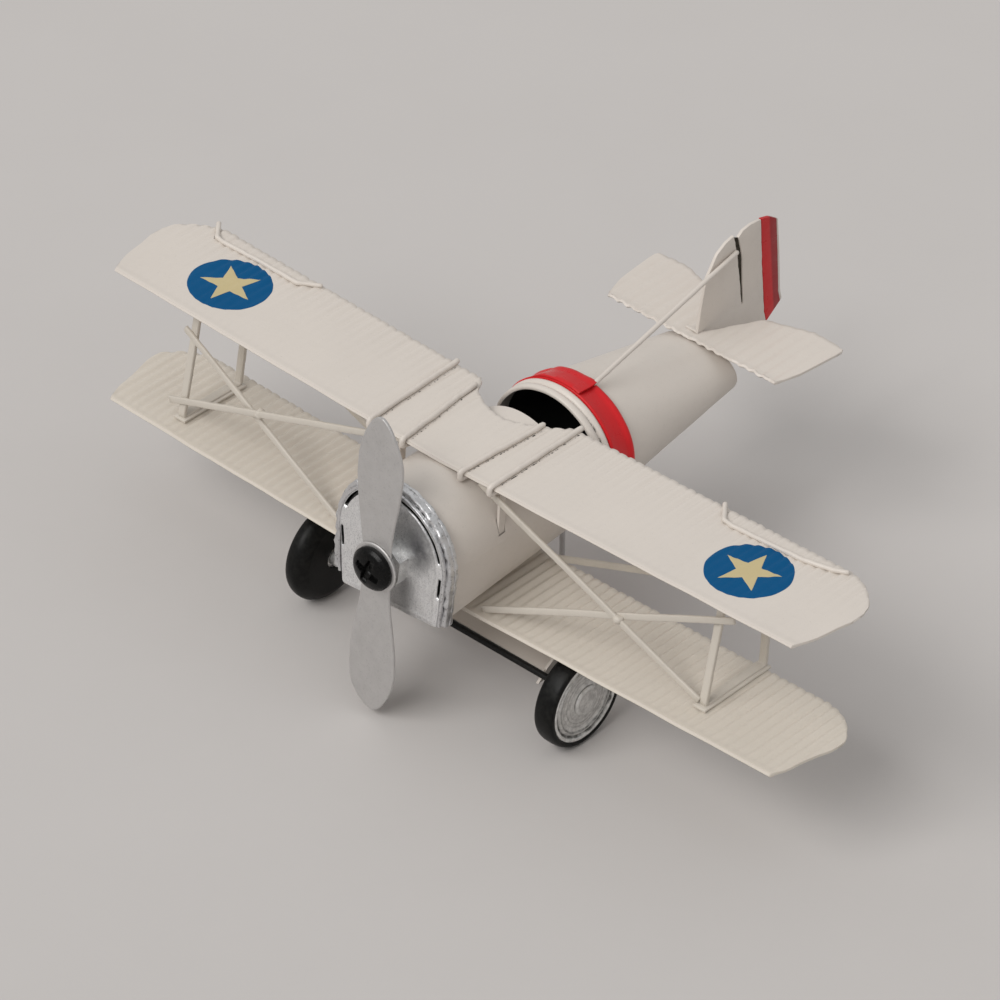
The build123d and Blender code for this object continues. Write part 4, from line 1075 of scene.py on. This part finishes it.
rowz = list(np.linspace(0, 3.0, 22)) + list(np.linspace(3.3, 27.0, 60)) + [27.6, 28.1, 28.6, 29.0, 29.3, 29.55, 29.72, 29.84, 29.90, 29.935]
rowz = [-z for z in rowz[:0:-1]] + rowz
RH, mcol = 2.02, 10
verts, faces = [], []
XF, XB = 2.5, 1.9


def prop_x(y, z, front):
    bend = 0.05 * nz((0, y, z), 0.08, 61.0)
    edge = blade_w(z, 1 if y > 0 else -1) - abs(y)
    return (XF if front else XB) + bend - (0.10 if front else -0.10) * smoothstep(0.30, 0.0, min(edge, 30.05 - abs(z)))


def prow(z, sgn):
    w = blade_w(z, sgn)
    h = math.sqrt(max(0.0, RH * RH - z * z))
    inner_w = max(w - 0.12, h)
    ys = [h + (inner_w - h) * j / mcol for j in range(mcol + 1)]
    return [sgn * y for y in ys], w, h


nrow = len(rowz)
idx = {}
for i, z in enumerate(rowz):
    zi = z * (1 - 0.003) if i in (0, nrow - 1) else z
    for sgn in (1, -1):
        ys, w, h = prow(z, sgn)
        for j, y in enumerate(ys):
            for front in (1, 0):
                idx[i, sgn, j, front] = len(verts)
                verts.append((prop_x(y, z, front), y, zi))
        idx[i, sgn, "e"] = len(verts)
        verts.append((2.2 + 0.05 * nz((0, sgn * w, z), 0.08, 61.0), sgn * w, z))
for i in range(nrow - 1):
    for sgn in (1, -1):
        for j in range(mcol):
            for front in (1, 0):
                faces.append((idx[i, sgn, j, front], idx[i, sgn, j + 1, front], idx[i + 1, sgn, j + 1, front], idx[i + 1, sgn, j, front]))
        for front in (1, 0):
            faces.append((idx[i, sgn, mcol, front], idx[i, sgn, "e"], idx[i + 1, sgn, "e"], idx[i + 1, sgn, mcol, front]))
        if min(abs(rowz[i]), abs(rowz[i + 1])) < RH:
            faces.append((idx[i, sgn, 0, 1], idx[i, sgn, 0, 0], idx[i + 1, sgn, 0, 0], idx[i + 1, sgn, 0, 1]))
for i in (0, nrow - 1):
    for sgn in (1, -1):
        for j in range(mcol):
            faces.append((idx[i, sgn, j, 1], idx[i, sgn, j + 1, 1], idx[i, sgn, j + 1, 0], idx[i, sgn, j, 0]))
        faces.append((idx[i, sgn, mcol, 1], idx[i, sgn, "e"], idx[i, sgn, mcol, 0]))
piece("cut_sheet_propeller", verts, faces, M_PROP, body="propeller", slot="plain_steel", replaces=["propeller"], sharp=50)

washer = [(2.56, 2.0), (2.56, 4.45), (2.62, 4.58), (2.76, 4.6), (2.86, 4.5), (2.9, 4.35), (2.9, 2.0)]
v, f = lathe(washer, 96, lambda x, r, a: (x, r * math.cos(a), r * math.sin(a)), closed=True)
piece("turned_front_washer", v, f, M_PROP, slot="plain_steel", replaces=["front_washer"], sharp=35)

# pan head screw with a cross recess
HX = 2.9
verts, faces = [], []
nseg, radii = 180, [0.0] + [0.16 * i for i in range(1, 22)] + [3.5, 3.65, 3.78, 3.88, 3.95]
CROSS = math.radians(-21)


def head_x(r, a):
    x = HX + 2.1 - 1.0 * (r / 4.0) ** 2.6 - 0.25 * smoothstep(3.4, 4.0, r)
    u, w = r * math.cos(a - CROSS), r * math.sin(a - CROSS)
    depth = 0.0
    for p, q in ((abs(u), abs(w)), (abs(w), abs(u))):
        half = 0.78 - 0.10 * p
        d = smoothstep(half + 0.10, half - 0.06, q) * smoothstep(2.6, 2.3, p)
        depth = max(depth, d * (1.25 - 0.28 * p))
    centre = smoothstep(1.05, 0.75, math.hypot(u, w))
    depth = max(depth, centre * 1.35)
    return x - depth


for r in radii:
    for k in range(nseg):
        a = 2 * math.pi * k / nseg
        verts.append((head_x(r, a), r * math.cos(a), r * math.sin(a)))
for i in range(1, len(radii) - 1):
    for k in range(nseg):
        k2 = (k + 1) % nseg
        faces.append((i * nseg + k, i * nseg + k2, (i + 1) * nseg + k2, (i + 1) * nseg + k))
for k in range(nseg):
    faces.append((0, nseg + k, nseg + (k + 1) % nseg))
side = [(HX + 0.78, 4.0), (HX + 0.2, 4.0), (HX + 0.02, 3.9), (HX, 3.6), (HX, 1.92), (-6.6, 1.92), (-6.9, 1.6)]
prev = (len(radii) - 1) * nseg
for x, r in side:
    b = len(verts)
    for k in range(nseg):
        a = 2 * math.pi * k / nseg
        verts.append((x, r * math.cos(a), r * math.sin(a)))
    for k in range(nseg):
        k2 = (k + 1) % nseg
        faces.append((prev + k, prev + k2, b + k2, b + k))
    prev = b
fan_cap(verts, faces, [prev + k for k in range(nseg)], (-6.95, 0, 0))
used = sorted({i for g in faces for i in g})
remap = {o: i for i, o in enumerate(used)}
piece("cross_head_screw", [verts[i] for i in used], [[remap[i] for i in g] for g in faces], M_BLACK, slot="black_hardware",
      replaces=["propeller_screw"], sharp=40)

# ---------------------------------------------------------------------------
# wheels
# ---------------------------------------------------------------------------
WX, WY, WZ = -17.1, 28.4, -22.3
TW = 4.1
TYRE = {
    "port": [(0.0, 2.25), (0.0, 8.3), (0.06, 8.55), (0.2, 8.76), (0.45, 8.92), (0.8, 9.03), (1.2, 9.08), (1.7, 9.1), (2.4, 9.1),
             (2.9, 9.06), (3.3, 8.99), (3.65, 8.88), (3.9, 8.74), (4.04, 8.58), (4.1, 8.38), (4.08, 8.1), (3.98, 7.94), (3.7, 7.90),
             (1.4, 7.90), (0.48, 7.86), (0.48, 2.25)],
    "starboard": [(0.0, 2.25), (0.0, 6.7), (0.06, 7.05), (0.25, 7.5), (0.55, 7.95), (0.95, 8.4), (1.4, 8.8), (1.9, 9.05), (2.3, 9.1),
                  (2.8, 9.08), (3.2, 9.0), (3.6, 8.86), (3.86, 8.7), (4.02, 8.5), (4.1, 8.3), (4.08, 8.0), (3.98, 7.84), (3.7, 7.80),
                  (1.4, 7.80), (0.48, 6.5), (0.48, 2.25)],
}
for side, s in (("port", 1), ("starboard", -1)):
    rh = 7.88 if s > 0 else 7.78
    ri = rh - 0.04 if s > 0 else 6.48
    hub_prof = [(-0.85, 0.655), (-0.85, 1.45), (-0.75, 1.6), (0.45, 1.6), (0.5, 2.0), (0.5, ri), (1.42, rh - 0.01),
                (3.84, rh), (3.96, rh - 0.07), (4.02, rh - 0.22), (4.00, rh - 0.42), (3.90, rh - 0.62), (3.70, rh - 0.74), (3.58, rh - 0.92),
                (3.58, rh - 1.12), (3.68, rh - 1.28), (3.86, rh - 1.40), (3.88, rh - 1.62), (3.74, rh - 1.85), (3.60, rh - 2.15), (3.56, 5.0),
                (3.60, 4.75), (3.62, 4.5), (3.60, 4.0), (3.66, 3.5), (3.74, 3.2), (3.84, 3.0), (3.86, 2.8), (3.86, 0.655)]
    yi = s * (WY - TW / 2)

    def at(u, r, a, s=s, yi=yi):
        return (WX + r * math.cos(a), yi + s * u, WZ + r * math.sin(a))

    v, f = lathe(TYRE[side], 144, at, closed=True)
    piece("moulded_tyre_" + side, v, f, M_TYRE, body="wheel_" + side, slot="tyre", replaces=["tyre_" + side], sharp=60)

    def dull(u, r, a, s=s):
        return 0.0

    verts, faces = [], []
    nseg = 144
    for k in range(nseg):
        a = 2 * math.pi * k / nseg
        for u, r in hub_prof:
            du = 0.05 * nz((r * math.cos(a), r * math.sin(a), s * 3.0), 0.8, 71.0) if u > 3.3 and r < 7.6 and r > 0.8 else 0.0
            verts.append(at(u + du, r, a))
    mh = len(hub_prof)
    for k in range(nseg):
        k2 = (k + 1) % nseg
        for j in range(mh):
            j2 = (j + 1) % mh
            faces.append((k * mh + j, k * mh + j2, k2 * mh + j2, k2 * mh + j))
    piece("turned_wheel_hub_" + side, verts, faces, M_WHEEL, body="wheel_" + side, slot="wheel_metal", replaces=["wheel_hub_" + side], sharp=40)

    # shallow pressed cap over the axle end
    cap = [(3.96, 0.62), (3.93, 2.75), (3.96, 2.84), (4.05, 2.84), (4.20, 2.68), (4.32, 2.50), (4.36, 2.30), (4.31, 2.10), (4.29, 1.6), (4.32, 0.8),
           (4.34, 0.02), (4.22, 0.02), (4.20, 0.62)]
    v, f = lathe(cap, 96, at, closed=True)
    piece("turned_axle_cap_" + side, v, f, M_WHEEL, slot="wheel_metal", replaces=["axle_cap_" + side], sharp=40)

# ---------------------------------------------------------------------------
# tail
# ---------------------------------------------------------------------------
def plate(name, outline, y0, y1, material, bevel=0.12, **kw):
    """Flat plate in the side plane: outline is a list of (x, z)."""
    bm = bmesh.new()
    vs = [bm.verts.new((x, y0, z)) for x, z in outline]
    face = bm.faces.new(vs)
    ret = bmesh.ops.extrude_face_region(bm, geom=[face])
    up = [g for g in ret["geom"] if isinstance(g, bmesh.types.BMVert)]
    bmesh.ops.translate(bm, verts=up, vec=(0, y1 - y0, 0))
    bm.edges.ensure_lookup_table()
    rim_edges = [e for e in bm.edges if abs(e.verts[0].co.y - e.verts[1].co.y) < 1e-9]
    bmesh.ops.bevel(bm, geom=rim_edges, offset=bevel, segments=2, affect="EDGES", profile=0.6)
    bmesh.ops.triangulate(bm, faces=[g for g in bm.faces if len(g.verts) > 4])
    bm.verts.ensure_lookup_table()
    verts = [tuple(q.co) for q in bm.verts]
    faces = [[q.index for q in g.verts] for g in bm.faces]
    bm.free()
    return piece(name, verts, faces, material, sharp=35, **kw)


def worn(points, amp, seed, step=0.8):
    """Resampled outline with a slightly wavering hand-cut edge."""
    P = [np.array([x, 0.0, z]) for x, z in points]
    out = []
    for a, b in zip(P, P[1:] + P[:1]):
        n = max(1, int(np.linalg.norm(b - a) / step))
        for k in range(n):
            c = a + (b - a) * k / n
            out.append((c[0] + amp * nz(c, 0.9, seed), c[2] + amp * nz(c, 0.9, seed + 5)))
    return out


FIN_BASE = 6.5 + 0.25 + 0.07
fin = [(-78.5, FIN_BASE), (-79.2, 13.0), (-79.9, 17.2), (-81.3, 19.6), (-82.6, 21.5), (-84.6, 22.7),
       (-86.7, 23.2), (-88.1, 18.6), (-90.2, 7.4), (-90.6, 7.4), (-89.2, 18.6), (-88.0, 22.3), (-89.2, 23.2), (-91.2, 23.5), (-93.95, 23.25),
       (-95.05, 14.0), (-96.75, 2.8), (-97.45, 0.25), (-80.1, 0.25), (-80.1, FIN_BASE)]
plate("painted_fin", worn(fin, 0.10, 81.0), -0.29, 0.29, M_WIRE, slot="cream_paint_body", replaces=["fin"])
# a dark sheet in the slot between fin and rudder stands in for the slot's shade: painted shade
plate("fin_slot_shade_sheet", [(-86.5, 22.9), (-87.9, 18.6), (-89.95, 7.6), (-90.85, 7.6), (-89.5, 18.6), (-88.25, 22.0)], -0.20, 0.02, M_SLOT, bevel=0.03)
tab_path = [np.array((-78.95, -2.5 + 0.5 * k, FIN_BASE + 0.16)) for k in range(6)]
v, f = sweep(tab_path, rounded_rect(0.42, 0.17, 0.12), ref=(0, 0, 1), lumps=0.04, lump_scale=0.8, seed=87.0, cap=0.2)
piece("fin_mounting_tab", v, f, M_WIRE, sharp=50)
stripe = [(-94.0, 23.3), (-96.2, 22.75), (-98.2, 21.5), (-99.2, 14.3), (-100.3, 5.3), (-101.0, 2.95), (-97.5, 0.25), (-96.8, 2.8), (-95.1, 14.0)]
plate("painted_rudder_stripe", worn(stripe, 0.08, 83.0), -0.34, 0.34, M_STRIPE, slot="red_paint", replaces=["rudder_stripe"])
trail = [(-98.25, 21.5), (-98.65, 21.2), (-99.75, 14.2), (-100.85, 5.3), (-101.45, 3.3), (-101.05, 2.95), (-100.35, 5.3), (-99.25, 14.3)]
plate("painted_rudder_edge", worn(trail, 0.03, 85.0), -0.28, 0.28, M_WIRE, slot="cream_paint_body", replaces=["rudder_trailing_edge"], bevel=0.06)

p, q = np.array((-47.9, 3.1, 13.25)), np.array((-87.2, 0.72, 19.8))
path = [p + (q - p) * k / 60 for k in range(61)]
v, f = sweep(path, circle(0.44, 12), ref=(0, 1, 0), lumps=0.05, lump_scale=0.7, seed=91.0, cap=0.8)
piece("painted_tail_rod", v, f, M_WIRE, slot="cream_paint_body", replaces=["tail_rod"], sharp=None)

# ---------------------------------------------------------------------------
# CAD parts whose shape is right: they keep it and get the finished materials
# ---------------------------------------------------------------------------
FINISH = {
    "front_fuselage_shell": M_SHELL, "wing_saddle": M_BODY, "landing_gear_bracket": M_BODY, "cabane_front_port": M_WIRE,
    "cabane_front_starboard": M_WIRE, "cabane_rear_port": M_WIRE, "cabane_rear_starboard": M_WIRE, "axle": M_DARK,
    "tail_skid": M_PROP, "inner_lock_nut": M_ZINC, "rear_washer": M_PROP,
}
for name, mat_ in FINISH.items():
    me = NODES[name].data
    me.materials.clear()
    me.materials.append(mat_)
for name, ob in NODES.items():
    if name not in FINISH and not ob.hide_render:
        raise SystemExit("unfinished CAD node " + name)

# ---------------------------------------------------------------------------
# floor, light, camera
# ---------------------------------------------------------------------------
m = Mat("pale_floor")
fa = m.noise(0.004, 3, 0.5)
fb = m.noise(0.03, 4, 0.6)
fc = m.mix(m.ramp(fa, 0.3, 0.7), (0.538, 0.516, 0.502), (0.556, 0.533, 0.519))
fc = m.mix(m.ramp(fb, 0.4, 0.75, 0.0, 0.10), fc, (0.47, 0.445, 0.43))
m.set(color=fc, rough=0.85, spec=0.15, normal=m.bump(m.noise(1.2, 3, 0.6), 0.15, 0.05))
bm = bmesh.new()
bmesh.ops.create_grid(bm, x_segments=4, y_segments=4, size=3.0)
me = bpy.data.meshes.new("floor")
bm.to_mesh(me)
bm.free()
floor = bpy.data.objects.new("floor", me)
bpy.context.scene.collection.objects.link(floor)
me.materials.append(m.m)

world = bpy.data.worlds.new("soft_room")
bpy.context.scene.world = world
world.use_nodes = True
wt = world.node_tree
bg = wt.nodes["Background"]
tc = wt.nodes.new("ShaderNodeTexCoord")
sep = wt.nodes.new("ShaderNodeSeparateXYZ")
rmp = wt.nodes.new("ShaderNodeMapRange")
mixw = wt.nodes.new("ShaderNodeMix")
mixw.data_type = "RGBA"
wt.links.new(tc.outputs["Generated"], sep.inputs[0])
wt.links.new(sep.outputs[2], rmp.inputs["Value"])
rmp.inputs["From Min"].default_value = -0.05
rmp.inputs["From Max"].default_value = 0.95
mixw.inputs[6].default_value = (0.62, 0.61, 0.60, 1)
mixw.inputs[7].default_value = (1.0, 1.0, 1.0, 1)
wt.links.new(rmp.outputs[0], mixw.inputs[0])
wt.links.new(mixw.outputs[2], bg.inputs["Color"])
bg.inputs["Strength"].default_value = 0.66

# one broad key light, made of two soft suns that stand a little apart; each line is the direction its light travels
for name, energy, way in (("key_front", 0.89, (-1.10, -0.12, -1.0)), ("key_side", 0.80, (-0.82, 0.34, -1.0))):
    sun = bpy.data.lights.new(name, "SUN")
    sun.energy = energy
    sun.angle = math.radians(24)
    sun.color = (1.0, 0.985, 0.965)
    ko = bpy.data.objects.new(name, sun)
    bpy.context.scene.collection.objects.link(ko)
    ko.rotation_mode = "QUATERNION"
    ko.rotation_quaternion = Vector(way).to_track_quat("-Z", "Y")

cam_data = bpy.data.cameras.new("camera")
cam_data.lens = 230.94
cam_data.sensor_width = 36.0
cam_data.clip_start, cam_data.clip_end = 0.01, 20.0
cam = bpy.data.objects.new("camera", cam_data)
bpy.context.scene.collection.objects.link(cam)
right = Vector((-0.666039, 0.744939, 0.038166))
up = Vector((-0.420250, -0.417028, 0.805902))
fwd = Vector((-0.616264, -0.520723, -0.590818))
rot = Matrix((right, up, -fwd)).transposed()
cam.matrix_world = Matrix.Translation(Vector(((635.641 + X0) / 1000, 0.561039, (634.033 + Z0) / 1000))) @ rot.to_4x4()
bpy.context.scene.camera = cam
bpy.context.scene.view_settings.view_transform = "Standard"
bpy.context.scene.view_settings.look = "None"
